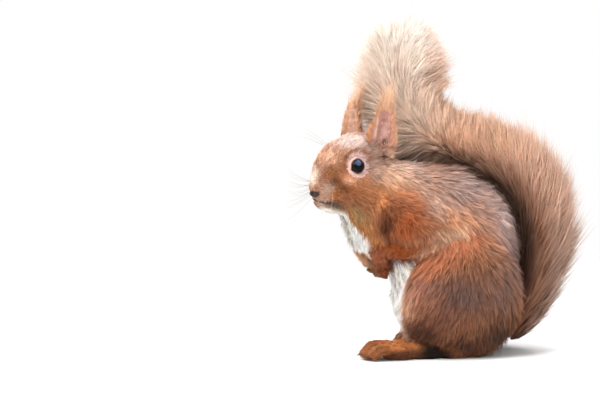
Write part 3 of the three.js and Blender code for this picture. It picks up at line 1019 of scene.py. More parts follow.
class Finish:
    """A material in the making."""

    def __init__(self, name, constants):
        self.material = bpy.data.materials.new(name)
        self.material.use_nodes = True
        self.tree = self.material.node_tree
        self.shader = self.tree.nodes["Principled BSDF"]
        for socket, number in constants.items():
            self.shader.inputs[socket].default_value = number

    def node(self, kind, settings, values):
        own = self.tree.nodes.new(kind)
        for name, setting in settings.items():
            setattr(own, name, setting)
        for socket, given in values.items():
            self.feed(own.inputs[socket], given)
        return Made(self, own)

    def feed(self, socket, given):
        if isinstance(given, Value):
            self.tree.links.new(given.socket, socket)
        else:
            socket.default_value = given

    def set(self, socket, given):
        self.feed(self.shader.inputs[socket], given)

    def attribute(self, name, output="Fac"):
        return self.node("ShaderNodeAttribute", {"attribute_name": name}, {}).value(output)

    def blended(self, share, low, high):
        """A colour between two, by a share."""
        mixed = self.node("ShaderNodeMix", {"data_type": "RGBA"}, {"Factor": share, 6: low, 7: high})
        return Value(self, mixed.own.outputs[2])

    def noise(self, scale):
        place = self.node("ShaderNodeTexCoord", {}, {}).value("Object")
        return self.node("ShaderNodeTexNoise", {}, {"Vector": place, "Scale": scale}).value("Fac")

    def mottled(self, colour, scale, least, most):
        """A colour made darker and lighter by noise of a size per metre."""
        place = self.node("ShaderNodeTexCoord", {}, {}).value("Object")
        noise = self.node("ShaderNodeTexNoise", {}, {"Vector": place, "Scale": scale, "Detail": 3.0})
        level = noise.value("Fac") * (most - least) + least
        grey = self.node("ShaderNodeCombineColor", {}, {"Red": level, "Green": level, "Blue": level})
        mixed = self.node(
            "ShaderNodeMix",
            {"data_type": "RGBA", "blend_type": "MULTIPLY"},
            {"Factor": 1.0, 6: colour, 7: grey.value("Color")},
        )
        return Value(self, mixed.own.outputs[2]), noise.value("Fac")


skin_finish = Finish("skin", {"Specular IOR Level": 0.3})
painted = skin_finish.attribute("coat_colour", "Color")
shade, grain = skin_finish.mottled(painted, 900.0, 0.75, 1.2)
skin_finish.set("Base Color", shade)
bare_skin = skin_finish.attribute("bare")
skin_finish.set("Roughness", 0.85 - bare_skin * 0.45)
raised = skin_finish.node("ShaderNodeBump", {}, {"Strength": 0.5, "Distance": 0.0003, "Height": grain})
skin_finish.set("Normal", raised.value("Normal"))
skin.data.materials.clear()
skin.data.materials.append(skin_finish.material)
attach(skin, "root")
EYES = [f"eye_{name}" for name in SIDES]
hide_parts(*[name for name in frame["nodes"] if name not in EYES])

# ---------------------------------------------------------------- eyes
# The eyes are large, round and almost black, with a very dark brown iris under a clear wet cornea. Each is a
# ball of its own, held in its socket by the lids, with a painted reflection of sky glowing near its top.
for name, side in SIDES.items():
    deselect()
    centre = HEAD.out(EYE_AT * (side, 1, 1))
    facing = HEAD.turned(EYE_FACING * (side, 1, 1))
    turn = Vector(facing).to_track_quat("Z", "Y").to_euler()
    bpy.ops.mesh.primitive_uv_sphere_add(
        segments=48, ring_count=32, radius=EYE_RADIUS * MM, location=metres(centre), rotation=turn
    )
    eye = bpy.context.active_object
    eye.name = f"eyeball_{name}"
    bpy.ops.object.transform_apply(location=True, rotation=True, scale=True)
    ball = coordinates(eye)
    ray = unit(ball - centre)
    off = np.arccos(np.clip(ray @ facing, -1, 1))
    CORNEA = 0.35
    set_coordinates(eye, ball + ray * (CORNEA * np.exp(-((off / 0.55) ** 2)))[:, None])
    bpy.ops.object.shade_smooth()
    set_value(eye.data, "off_axis", off)
    wet = Finish(f"eye_{name}", {"Roughness": 0.05, "Specular IOR Level": 0.07, "Emission Strength": 1.0})
    # painted reflection: a soft blue glow of sky, fixed near the top of each eye and given as emission
    painted_glint_way = unit((EYE_FACING + (0, 0, 0.42)) * (side, 1, 1))
    from_painted_glint = np.arccos(np.clip(ray @ HEAD.turned(painted_glint_way), -1, 1))
    set_value(eye.data, "sky_sheen", smooth_step(from_painted_glint, 0.44, 0.2))
    sky = wet.attribute("sky_sheen")
    wet.set("Emission Color", wet.blended(sky, (0, 0, 0, 1), (0.075, 0.13, 0.27, 1)))
    turned = wet.attribute("off_axis")
    iris = wet.node("ShaderNodeMapRange", {"interpolation_type": "SMOOTHSTEP"}, {0: turned, 1: 0.42, 2: 0.6})
    rim = wet.node("ShaderNodeMapRange", {"interpolation_type": "SMOOTHSTEP"}, {0: turned, 1: 0.85, 2: 1.0})
    amount = iris.value("Result") * (1 - rim.value("Result"))
    wet.set("Base Color", wet.blended(amount, (0.0025, 0.002, 0.002, 1), (0.012, 0.006, 0.004, 1)))
    eye.data.materials.append(wet.material)
    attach(eye, "root")
    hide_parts(f"eye_{name}")

# ---------------------------------------------------------------- coat
# The coat is fine flat hairs that overlap like thatch. They are shortest on the nose, hands and feet, lie
# along the body, and stand out most on the white belly.
rng = np.random.default_rng(7)
PATCH = 0.003  # how wide a hair's place is on the unwrap
ROOT_SHADE = 0.6  # how dark a hair is at its root, where little light reaches
DARK_TIPPED = 0.2  # the share of hairs that end dark


def ruffle(points, size, seed):
    """Smooth waves over the body, from -1 to 1, three for each point."""
    own = np.random.default_rng(seed)
    total = np.zeros_like(points)
    for _ in range(6):
        waves = own.normal(size=(3, 3)) / size
        total += np.sin(points @ waves.T + own.uniform(0, 2 * math.pi, 3))
    return total / 3


class Roots:
    """Places on the skin where hairs grow."""

    def __init__(self, faces, count, density):
        a, b, c = (skin_points[corners[faces, k]] for k in range(3))
        area = np.linalg.norm(np.cross(b - a, c - a), axis=1) * density
        picked = faces[rng.choice(len(faces), count, p=area / area.sum())]
        one, two = rng.random(count), rng.random(count)
        flip = one + two > 1
        one, two = np.where(flip, 1 - one, one), np.where(flip, 1 - two, two)
        shares = np.stack([1 - one - two, one, two], 1)[:, :, None]
        self.at = (skin_points[corners[picked]] * shares).sum(1)
        self.facing = unit((skin_facing[corners[picked]] * shares).sum(1))
        self.uv = (skin_uv[picked] * shares).sum(1)
        self.bare = (bare[corners[picked]] * shares[:, :, 0]).sum(1)

    def kept(self, wanted):
        for name, value in vars(self).items():
            setattr(self, name, value[wanted])
        return self


def coat_of(points):
    """Hair length, width, lift and lie at points, blended from the parts of the body near them."""
    SOFT = 2.5
    far = part_distances(points)[: len(BODY_PARTS) - 1]
    weight = np.exp(-(far - far.min(0)) / SOFT)
    weight /= weight.sum(0)
    sizes = np.array([[part.hair, part.width, part.lift] for part in BODY_PARTS[:-1]])
    lie = sum(w[:, None] * unit(part.lie(points)) for w, part in zip(weight, BODY_PARTS))
    return *(weight.T @ sizes).T, lie


def hair_mesh(name, lines, across, widths, colours, uv, profile):
    """One mesh of flat hairs: their lines, the way across each, its width, and a colour at each place."""
    count, rows, _ = lines.shape
    half = (across * (widths / 2)[:, None])[:, None, :] * np.array(profile)[None, :, None]
    pairs = np.stack([lines[:, :-1] - half, lines[:, :-1] + half], 2).reshape(count, -1, 3)
    points = np.concatenate([pairs, lines[:, -1:]], 1)
    each = points.shape[1]
    face = []
    for row in range(rows - 2):
        face += [2 * row, 2 * row + 1, 2 * row + 3, 2 * row + 2]
    face += [2 * (rows - 2), 2 * (rows - 2) + 1, 2 * (rows - 1)]
    loops = (np.arange(count)[:, None] * each + np.array(face)).ravel()
    quads = rows - 2
    starts = np.concatenate([np.arange(quads) * 4, [quads * 4]])
    starts = (np.arange(count)[:, None] * len(face) + starts).ravel()

    mesh = bpy.data.meshes.new(name)
    mesh.vertices.add(count * each)
    mesh.vertices.foreach_set("co", metres(points.reshape(-1, 3)).astype(np.float32).ravel())
    mesh.loops.add(len(loops))
    mesh.loops.foreach_set("vertex_index", loops.astype(np.int32))
    mesh.polygons.add(len(starts))
    mesh.polygons.foreach_set("loop_start", starts.astype(np.int32))
    mesh.update(calc_edges=True)

    along = np.repeat(np.linspace(0, 1, rows), 2)[: each]
    offset = np.zeros((each, 2))
    offset[:, 0] = np.resize([-0.5, 0.5], each)
    offset[-1, 0] = 0
    offset[:, 1] = along - 0.5
    places = (uv[:, None, :] + PATCH * offset).reshape(-1, 2)
    layer = mesh.uv_layers.new(name="OFBake")
    layer.data.foreach_set("uv", np.clip(places, 0, 1)[loops].astype(np.float32).ravel())

    set_colour(mesh, np.repeat(colours, 2, axis=1)[:, :each].reshape(-1, 3))
    mesh.polygons.foreach_set("use_smooth", np.ones(len(starts), bool))
    made = bpy.data.objects.new(name, mesh)
    bpy.context.scene.collection.objects.link(made)
    return made


hair_finish = Finish("hair", {"Specular IOR Level": 0.2, "Sheen Weight": 0.04, "Sheen Roughness": 0.5})
painted = hair_finish.attribute("coat_colour", "Color")
shade, grain = hair_finish.mottled(painted, 260.0, 0.82, 1.2)
hair_finish.set("Base Color", shade)
hair_finish.set("Roughness", 0.5 + grain * 0.25)


def finish_hair(piece):
    piece.data.materials.append(hair_finish.material)
    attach(piece, "root")


def locks_of(places, every):
    """The lock each hair belongs to, as the number of the hair in its middle."""
    middles = np.arange(0, len(places), every)
    tree = kdtree.KDTree(len(middles))
    for order, middle in enumerate(middles):
        tree.insert(places[middle], order)
    tree.balance()
    return middles[[tree.find(place)[1] for place in places]]


def gathered(lines, lock, pull):
    """Draws the tips of hairs together into locks."""
    share = np.linspace(0, 1, lines.shape[1])[None, :, None] ** 1.4
    return lines + (lines[lock] - lines) * share * pull[:, None, None]


def varied(lock, spread_of_locks, spread_of_hairs):
    """A factor near 1 for each hair that differs from lock to lock and from hair to hair."""
    count = len(lock)
    shared = rng.normal(1, spread_of_locks, count)[lock]
    return (shared * rng.normal(1, spread_of_hairs, count)).clip(0.45, 1.6)


def clear_of(lines):
    """Keeps hairs above the floor and off the eyeballs."""
    LOWEST = 0.15
    for side in SIDES.values():
        centre = HEAD.out(EYE_AT * (side, 1, 1))
        away = lines - centre
        far = np.linalg.norm(away, axis=2, keepdims=True)
        lines = centre + away * np.maximum(1, (EYE_RADIUS + 0.5) / np.maximum(far, 1e-6))
    lines[:, :, 2] = np.maximum(lines[:, :, 2], LOWEST)
    return lines


def grow(name, roots, rows, shorten, pull, every):
    """Grows one piece of the coat from its roots."""
    length, width, lift, lie = coat_of(roots.at)
    count = len(roots.at)
    lock = locks_of(roots.at, every)
    length = length * shorten * varied(lock, 0.12, 0.12)
    lie = lie + 0.25 * ruffle(roots.at, 9, 3)
    lie = lie + rng.normal(0, 0.14, (count, 3))[lock] + rng.normal(0, 0.1, (count, 3))
    for side in SIDES.values():
        far, beyond = about_eye(roots.at, side)
        close = (far < 13) * smooth_step(beyond, 55, 8)
        away = unit(roots.at - HEAD.out((EYE_AT + EYE_FACING * 3) * (side, 1, 1)))
        lie = lie * (1 - 0.8 * close)[:, None] + away * (1.4 * close)[:, None]
        length = length * (1 - 0.93 * close)
        lift = lift * (1 - 0.4 * close)
    along = unit(lie - roots.facing * (lie * roots.facing).sum(1)[:, None])
    angle = np.radians(lift * varied(lock, 0.25, 0.2))
    rise = np.sin(angle) * length
    run = np.cos(angle) * length
    share = np.linspace(0, 1, rows)[None, :, None]
    SETTLE = 0.3  # how much the tips lie down again
    lines = (
        roots.at[:, None]
        + along[:, None] * share * run[:, None, None]
        + roots.facing[:, None] * (share - SETTLE * share**2) * rise[:, None, None]
    )
    bow = np.cross(along, roots.facing) * (rng.normal(0, 0.09, count) * length)[:, None]
    lines = lines + bow[:, None] * share**2
    lines = clear_of(gathered(lines, lock, rng.uniform(0.3, 1.5, count) * pull))
    roll = rng.normal(0, 0.45, count)[:, None]
    across = np.cross(along, roots.facing) * np.cos(roll) + roots.facing * np.sin(roll)
    colour = markings(roots.at, roots.facing) * varied(lock, 0.17, 0.12)[:, None]
    colour = colour * (1 + rng.normal(0, 0.05, (count, 1))[lock] * np.array([1, 0, -1]))
    dark_tipped = rng.random(count) < DARK_TIPPED
    tip = np.where(dark_tipped, rng.uniform(0.5, 0.8, count), rng.uniform(1.05, 1.35, count))
    rise_of_light = share**1.2
    shade = ROOT_SHADE * (1 - rise_of_light) + tip[:, None, None] * rise_of_light
    paleness = 0.75 * smooth_step(colour.min(1), 0.3, 0.6)[:, None, None]
    shade = shade + (1.06 - shade) * paleness
    colours = np.clip(colour[:, None] * shade, 0, 0.95)
    profile = {3: (0.9, 0.75), 4: (0.8, 1.0, 0.6), 5: (0.8, 1.0, 0.8, 0.5)}[rows]
    piece = hair_mesh(name, lines, across, width * rng.uniform(0.75, 1.3, count), colours, roots.uv, profile)
    finish_hair(piece)
    return piece


middles = skin_points[corners].mean(1)
nearest_part = np.argmin(part_distances(middles), 0)
part_names = np.array([part.name for part in BODY_PARTS])[nearest_part]
face_on_ear = is_ear(middles) & (np.linalg.norm(middles - HEAD.out((0, 7, 0)), axis=1) > 17)
inside_lids = np.zeros(len(middles), bool)
for side in SIDES.values():
    far, beyond = about_eye(middles, side)
    inside_lids |= (far < 7) & (beyond < 2.5)
furred = ~face_on_ear & ~inside_lids & (middles[:, 2] > 0.4)


def faces_of(*names):
    return np.flatnonzero(furred & np.isin(part_names, names))


def grow_part(piece, names, count, rows, pull=0.6, every=7):
    faces = faces_of(*names)
    roots = Roots(faces, count, np.ones(len(faces)))
    roots.kept(roots.bare < 0.3)
    grow(piece, roots, rows, 1.0, pull, every)


# The face is furred most finely, and shortest at the nose.
faces = faces_of("head")
from_tip = np.linalg.norm(HEAD.into(middles[faces]) - NOSE, axis=1)
roots = Roots(faces, 62000, 1 + 1.3 * np.exp(-from_tip / 12))
roots.kept(roots.bare < 0.3)
reach = np.linalg.norm(HEAD.into(roots.at) - NOSE, axis=1)
from_ear = np.linalg.norm(np.abs(HEAD.into(roots.at)) * (1, 0, 1) - EAR_ROOT * (1, 0, 1), axis=1)
by_ear = smooth_step(from_ear, 13, 7) * smooth_step(HEAD.into(roots.at)[:, 1], 10, 16)
from_mouth = np.minimum(*[mouth.distance(roots.at) for mouth in MOUTHS])
shorten = (0.24 + 0.76 * smooth_step(reach, 3, 34)) * (1 - 0.6 * by_ear)
shorten = shorten * (1 - 0.6 * smooth_step(from_mouth, 3, 1))
grow("coat_head", roots, 3, shorten, 0.3, 6)

# The breast is shorter haired where the hands are held against it.
faces = faces_of("neck", "breast")
roots = Roots(faces, 52000, np.ones(len(faces)))
roots.kept(roots.bare < 0.3)
over_hands = smooth_step(roots.at[:, 1], -36, -42) * smooth_step(roots.at[:, 2], 70, 61)
grow("coat_neck", roots, 3, 1 - 0.8 * over_hands, 0.6, 7)

grow_part("coat_back", ["back"], 56000, 3)
grow_part("coat_belly", ["belly"], 16000, 4)
grow_part("coat_haunches", ["haunch"], 64000, 3)
grow_part("coat_arms", ["upper_arm", "forearm"], 40000, 3, pull=0.5)
grow_part("coat_hands", ["hand"], 13000, 3, 0.2, 5)
grow_part("coat_feet", ["foot"], 24000, 3, 0.25, 5)

# ---------------------------------------------------------------- fur of the ears
# The backs and rims of the ears are furred, their bowls are almost bare, and from the upper half a tuft of
# long hair stands up past the tip.
ear_faces = np.flatnonzero(face_on_ear)


def grow_ears(name, count, tall):
    roots = Roots(ear_faces, count, np.ones(len(ear_faces)))
    height, across_ear, _ = about_ear(roots.at)[1]
    bowl = (roots.facing * about_ear(roots.at)[0][2]).sum(1) < -0.25
    rim = np.abs(across_ear) > 0.74 * np.interp(height, EAR_HEIGHTS, EAR_WIDTHS)
    far_ear = HEAD.into(roots.at)[:, 0] < 0
    downy = rng.random(count) < np.where(far_ear, 0.95, 0.12)
    wanted = (height > 13.5) & (~bowl | (height > 18.5)) if tall else (~bowl | rim | downy) & (height > 1)
    roots.kept(wanted)
    height, bowl, rim, across_ear, far_ear = (v[wanted] for v in (height, bowl, rim, across_ear, far_ear))
    (up, across, back), _ = about_ear(roots.at)
    n = len(height)
    lock = locks_of(roots.at, 9)
    outward = across * (across_ear / 9)[:, None]
    swept = HEAD.turned((0, 1, 0)) * np.where(far_ear, 0.3, 0.04)[:, None]
    if tall:
        length = (25 - 0.8 * (height - 13.5)) * rng.uniform(0.35, 1.08, n) * varied(lock, 0.14, 0.05)
        lie = up - 0.2 * outward + 0.06 * roots.facing + rng.normal(0, 0.07, (n, 3))[lock]
        width = np.full(n, 0.16)
        ROWS = 5
    else:
        length = rng.uniform(1.3, 2.6, n) * np.where(bowl & ~rim, 0.8, 1) * (1 + 0.9 * far_ear)
        at_front = smooth_step(across_ear, -4, -6.5) * smooth_step(height, 16, 8) * ~far_ear
        length = length + 2 * smooth_step(height, 14, 20) + 1.6 * smooth_step(across_ear, 4, 6)
        length = length + 2.4 * at_front
        lie = up + (0.22 + 0.75 * at_front[:, None]) * outward + 0.15 * roots.facing
        lie = lie + rng.normal(0, 0.16, (n, 3))
        width = np.full(n, 0.2)
        ROWS = 4
    lie = unit(lie + rng.normal(0, 0.05, (n, 3)))
    share = np.linspace(0, 1, ROWS)[None, :, None]
    bend = swept + rng.normal(0, 0.09, (n, 3))
    lines = roots.at[:, None] + lie[:, None] * length[:, None, None] * share
    lines = lines + bend[:, None] * length[:, None, None] * share**2
    lines = gathered(lines, lock, rng.uniform(0.2, 0.9, n) * (0.45 if tall else 0.3))
    widest = unit(np.cross(lie, roots.facing + rng.normal(0, 0.3, (n, 3))))
    front = smooth_step(across_ear, -4.5, -6.5)[:, None] * (1 - 0.6 * far_ear[:, None])
    rear = smooth_step(across_ear, 3.5, 6)[:, None] * (1 - 0.6 * far_ear[:, None])
    colour = tint("c39272") * (1 - front) + tint("c4762f") * front
    colour = colour * (1 - rear) + tint("a86f49") * rear
    colour = np.where((bowl & ~rim)[:, None], tint("cfa18a"), colour) * varied(lock, 0.12, 0.12)[:, None]
    tip = tint("e2b895") if tall else tint("d4a585")
    rise_of_light = share**0.7
    tips = tip * rise_of_light * varied(lock, 0.1, 0.1)[:, None, None]
    colours = colour[:, None] * 0.95 * (1 - rise_of_light) + tips
    widths = width * rng.uniform(0.8, 1.3, n)
    profile = (0.9, 1.0, 0.8, 0.5)[: ROWS - 1]
    piece = hair_mesh(name, lines, widest, widths, np.clip(colours, 0, 0.95), roots.uv, profile)
    finish_hair(piece)


grow_ears("ear_fur", 11000, tall=False)
grow_ears("ear_tufts", 3200, tall=True)

# ---------------------------------------------------------------- tail hair
# The tail is a plume of long hairs that leave its thin bone all round and sweep towards its tip. They are
# dark at the root and pale at the tip, and gather into soft ragged locks.
TAIL_HAIRS = 82000
TAIL_ROWS = 4
# From root to tip: how far along the tail a hair sweeps, as a share of the tail.
TAIL_SWEEPS = (0.05, 0.09, 0.09, 0.045, 0.012, 0.02, 0.06, 0.13)
# Colours of the hair from root to tip of the tail, near the bone, half way out and at the outside.
TAIL_INSIDE = ("3a2519", "5a3524", "8b5b3f", "d2a583", "f1d8c3", "f8e8db", "f9eee6", "f7f0ea")
TAIL_MIDDLE = ("7a5a4a", "98735f", "d2a58a", "e6bfa3", "f9e3d4", "f7e4d7", "f8ece3", "f5ede6")
TAIL_OUTSIDE = ("a88e80", "bda08f", "ccad9b", "c8a48c", "d8b69f", "e7cfbf", "f4e6dc", "f5ede6")
# Painted shade in the crease between tail and back, brown and then black, on the hair in towards the back.
# For each: where it begins and is full, its colour and strength.
TAIL_PAINTED_SHADE = ((13, 1, "8a583c", 0.75), (1, -8, "2a140a", 0.88))
# How far the hair goes past the outline there, at each station of the tail: outward, inward and to the sides.
HAIR_REACH = np.ones_like(TAIL_REACH)
HAIR_REACH[3:7] = [(1.0, 1.5, 1), (0.96, 1.6, 1), (0.96, 1.45, 1), (0.93, 1.6, 1)]
HAIR_REACH[7:12] = [(1.06, 1.25, 1), (1.1, 1.14, 1), (1.2, 1.18, 1.05), (1.6, 1.6, 1.2), (2.8, 3.0, 1.6)]
SIDEMOST = -47.0  # the hairs bend back beyond this


def tail_frame(share):
    """Ways along, across and outward of the tail."""
    STEP = 0.004
    heading = unit(spline(TAIL_LINE, share + STEP) - spline(TAIL_LINE, share - STEP))
    aside = unit(np.array([1.0, 0, 0]) - heading * heading[:, :1])
    return heading, aside, np.cross(heading, aside)


def tail_spot(share, angle, full):
    """A point in the tail's hair, at an angle round it, a share of the way out from the bone."""
    _, aside, outward = tail_frame(share)
    out, inward, side = spline(TAIL_REACH * HAIR_REACH, share).T
    reach = np.where(np.sin(angle) > 0, out, inward)
    return (
        spline(TAIL_LINE, share)
        + aside * (side * np.cos(angle) * full)[:, None]
        + outward * (reach * np.sin(angle) * full)[:, None]
    )


def tail_tint(row, share):
    return spline(np.array([tint(code) for code in row]), share)


NEAR_TAIL = [part for part in BODY_PARTS[:-1] if part.name in ("back", "neck", "head", "haunch")]


def over_body(points):
    """How far points are from the flesh that the tail lies against."""
    return np.minimum.reduce([part.distance(points) for part in NEAR_TAIL])


def out_of_body(points, least):
    """Points of the tail's hair moved until they lie on the coat of the body, not in it."""
    for _ in range(2):
        inside = np.flatnonzero(over_body(points) < least)
        slope = unit(slope_of(over_body, points[inside]))
        points[inside] += slope * (least - over_body(points[inside]))[:, None]
    return points


count = TAIL_HAIRS
start = rng.random(count) ** 0.9 * BONE_END
angle = rng.uniform(0, 2 * math.pi, count)
LEANING = 4000  # the hairs of the plume that lean forward over the nape, between the ears
start[:LEANING] = rng.uniform(0.5, 0.61, LEANING)
angle[:LEANING] = rng.normal(1.5 * math.pi, 0.4, LEANING)
waves = ruffle(np.stack([start * 260, np.cos(angle) * 14, np.sin(angle) * 14], 1), 2.6, 11)
heading, aside, outward = tail_frame(start)
spoke = aside * np.cos(angle)[:, None] + outward * np.sin(angle)[:, None]
bone_radius = np.interp(start, (0, BONE_END), (5.5, 1.8))
first = spline(TAIL_LINE, start) + spoke * bone_radius[:, None]
lock = locks_of(first + spoke * 3, 8)
sweep = np.interp(start, np.linspace(0, BONE_END, len(TAIL_SWEEPS)), TAIL_SWEEPS)
on_plume = smooth_step(start, 0.42, 0.58)
sweep = (sweep + 0.07 * np.abs(np.cos(angle)) * on_plume) * varied(lock, 0.25, 0.2)
end = np.minimum(start + sweep, 1)
turned_out = (0.9 - 0.7 * on_plume) * smooth_step(start, 0.05, 0.2) * np.cos(angle)
stray = rng.random(count) < 0.03
full = rng.uniform(0.0, 1.0, count) ** 0.33 * (0.97 + 0.12 * waves[:, 0]) * varied(lock, 0.12, 0.04)
full = np.where(stray, rng.uniform(0.95, 1.16, count), np.minimum(full, 1.1))
last = tail_spot(end, angle + turned_out + 0.16 * waves[:, 1] + rng.normal(0, 0.1, count)[lock], full)
PAST_END = 120.0  # how far a hair goes on for each share of the tail that it would sweep past the end
last = last + tail_frame(end)[0] * (PAST_END * (start + sweep - end))[:, None]
length = np.linalg.norm(last - first, axis=1)[:, None]
leave = first + unit(spoke + 6 * sweep[:, None] * heading) * 0.33 * length
arrive = last - unit(unit(last - first) + 0.25 * tail_frame(end)[0]) * 0.33 * length
s = np.linspace(0, 1, TAIL_ROWS)[None, :, None]
lines = (
    first[:, None] * (1 - s) ** 3
    + leave[:, None] * 3 * s * (1 - s) ** 2
    + arrive[:, None] * 3 * s**2 * (1 - s)
    + last[:, None] * s**3
)
bow = rng.normal(0, 0.05, (count, 3)) * np.where(stray, 2.5, 1)[:, None]
lines = lines + (bow * length)[:, None] * s**2
lines = gathered(lines, lock, rng.uniform(0.1, 0.85, count))
lines = out_of_body(lines.reshape(-1, 3), 1.6).reshape(count, TAIL_ROWS, 3)
lines[:, :, 2] = np.maximum(lines[:, :, 2], 0.2)
beyond = np.maximum(SIDEMOST - lines[:, :, 0], 0)
lines[:, :, 0] += beyond * beyond / (beyond + 6)
radial = full[:, None] * np.linspace(0, 1, TAIL_ROWS)[None]
where = start[:, None] + (end - start)[:, None] * np.linspace(0, 1, TAIL_ROWS)[None]
inside, middle, outside = (
    tail_tint(row, where.ravel()).reshape(count, TAIL_ROWS, 3)
    for row in (TAIL_INSIDE, TAIL_MIDDLE, TAIL_OUTSIDE)
)
blend = smooth_step(radial, 0.05, 0.5)[:, :, None]
colours = inside + (middle - inside) * blend
colours = colours + (outside - colours) * smooth_step(radial, 0.5, 0.95)[:, :, None]
# painted shade: the hair on the rear side of the plume, turned from the light, is painted darker, less so
# near the tip
painted_shade_behind_plume = smooth_step(np.sin(angle), 0.1, 0.9) * smooth_step(start, 0.45, 0.6)
painted_shade_behind_plume *= 1 - 0.65 * smooth_step(start, 0.64, 0.76)
colours = colours + (tint("c49a7c") - colours) * (0.65 * painted_shade_behind_plume)[:, None, None]
colours = np.clip(colours * varied(lock, 0.13, 0.12)[:, None, None], 0, 0.95)
out_from_bone = lines - spline(TAIL_LINE, where.ravel()).reshape(count, TAIL_ROWS, 3)
out_from_bone = (out_from_bone * tail_frame(where.ravel())[2].reshape(count, TAIL_ROWS, 3)).sum(2)
# painted shade in the crease where the tail lies against the back
for light, dark, code, strength in TAIL_PAINTED_SHADE:
    amount = strength * smooth_step(out_from_bone, light, dark) * smooth_step(lines[:, :, 2], 126, 100)
    colours = colours + (tint(code) - colours) * amount[:, :, None]
across = unit(np.cross(lines[:, -1] - lines[:, 0], spoke + rng.normal(0, 0.6, (count, 3))))

on_core = np.flatnonzero(np.argmin(part_distances(skin_points), 0) == len(BODY_PARTS) - 1)
tail_tree = kdtree.KDTree(len(on_core))
for index in on_core:
    tail_tree.insert(skin_points[index], int(index))
tail_tree.balance()
vertex_uv = np.zeros((len(skin_points), 2))
vertex_uv[corners.ravel()] = skin_uv.reshape(-1, 2)
rooted = vertex_uv[[tail_tree.find(root)[1] for root in lines[:, 0]]]

order = np.argsort(start, kind="stable")
TAIL_PIECES = 3
for number, chosen in enumerate(np.array_split(order, TAIL_PIECES), 1):
    piece = hair_mesh(
        f"tail_hair_{number}",
        lines[chosen],
        across[chosen],
        rng.uniform(0.26, 0.46, len(chosen)),
        colours[chosen],
        rooted[chosen],
        (0.8, 1.0, 0.7),
    )
    finish_hair(piece)

# ---------------------------------------------------------------- whiskers
# Whiskers are stiff brown hairs that taper to a point. They fan out from both sides of the muzzle, with three
# more over each eye.
WHISKER_RADIUS = 0.09


def whisker_mesh(name, starts, ends, bow):
    """Thin three-sided bristles that bow a little and taper to a point."""
    ROWS = 9
    share = np.linspace(0, 1, ROWS)[None, :, None]
    lines = starts[:, None] * (1 - share) + ends[:, None] * share
    lines = lines + bow[:, None] * (4 * share * (1 - share))
    along = unit(ends - starts)
    aside = unit(np.cross(along, (0.3, 0.2, 1)))
    over = np.cross(along, aside)
    count = len(starts)
    radius = WHISKER_RADIUS * (1 - 0.93 * np.linspace(0, 1, ROWS))
    rings = []
    for k in range(3):
        turn = 2 * math.pi * k / 3
        spoke = aside * math.cos(turn) + over * math.sin(turn)
        rings.append(lines + spoke[:, None] * radius[None, :, None])
    points = np.stack(rings, 2).reshape(-1, 3)
    faces = []
    for hair in range(count):
        base = hair * ROWS * 3
        for row in range(ROWS - 1):
            for k in range(3):
                a, b = base + row * 3 + k, base + row * 3 + (k + 1) % 3
                faces.append((a, b, b + 3, a + 3))
        faces.append((base + 2, base + 1, base))
        faces.append((base + ROWS * 3 - 3, base + ROWS * 3 - 2, base + ROWS * 3 - 1))
    mesh = bpy.data.meshes.new(name)
    mesh.from_pydata([tuple(p) for p in metres(points)], [], faces)
    mesh.update()
    made = bpy.data.objects.new(name, mesh)
    bpy.context.scene.collection.objects.link(made)
    return made


starts, ends, bows = [], [], []
for side in SIDES.values():
    for row in range(4):
        for k in range(5):
            base = np.array([7.6 - 0.35 * row, -20.5 + 1.7 * k, -9.8 - 1.7 * row])
            aim = unit(np.array([0.62, -0.95 + 0.12 * k, 0.34 - 0.3 * row + 0.1 * rng.normal()]))
            far = rng.uniform(13, 16.5) + 3.6 * k
            starts.append(base * (side, 1, 1))
            ends.append((base + aim * far) * (side, 1, 1))
            bows.append(np.array([0.0, -0.05, -0.09]) * far)
    for k in range(3):
        base = np.array([9.5 + k, -9 + 2.5 * k, 10.5])
        aim = unit(np.array([0.15 + 0.3 * k, -0.8, 0.3 + 0.22 * k]))
        starts.append(base * (side, 1, 1))
        ends.append((base + aim * 17) * (side, 1, 1))
        bows.append(np.array([0.0, -0.8, 0.9]))
starts, ends = HEAD.out(starts), HEAD.out(ends)
FOREMOST = -93.5
within = np.clip((starts[:, 1] - FOREMOST) / np.maximum(starts[:, 1] - ends[:, 1], 1e-6), 0, 1)
ends = starts + (ends - starts) * np.where(ends[:, 1] < FOREMOST, within, 1)[:, None]
bristles = whisker_mesh("whiskers", starts, ends, HEAD.turned(bows))
horn = Finish("whisker", {"Roughness": 0.4})
horn.set("Base Color", horn.blended(horn.noise(300.0), (0.5, 0.4, 0.33, 1), (0.2, 0.14, 0.1, 1)))
bristles.data.materials.append(horn.material)
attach(bristles, "root")

# ---------------------------------------------------------------- claws
# Every toe and finger ends in a thin curved dark claw of horn. A claw is a cone bent downward, and its root
# is sunk in the flesh.
CLAW_LENGTH = 4.6
CLAW_RADIUS = 0.85
CLAW_TIP = 0.06


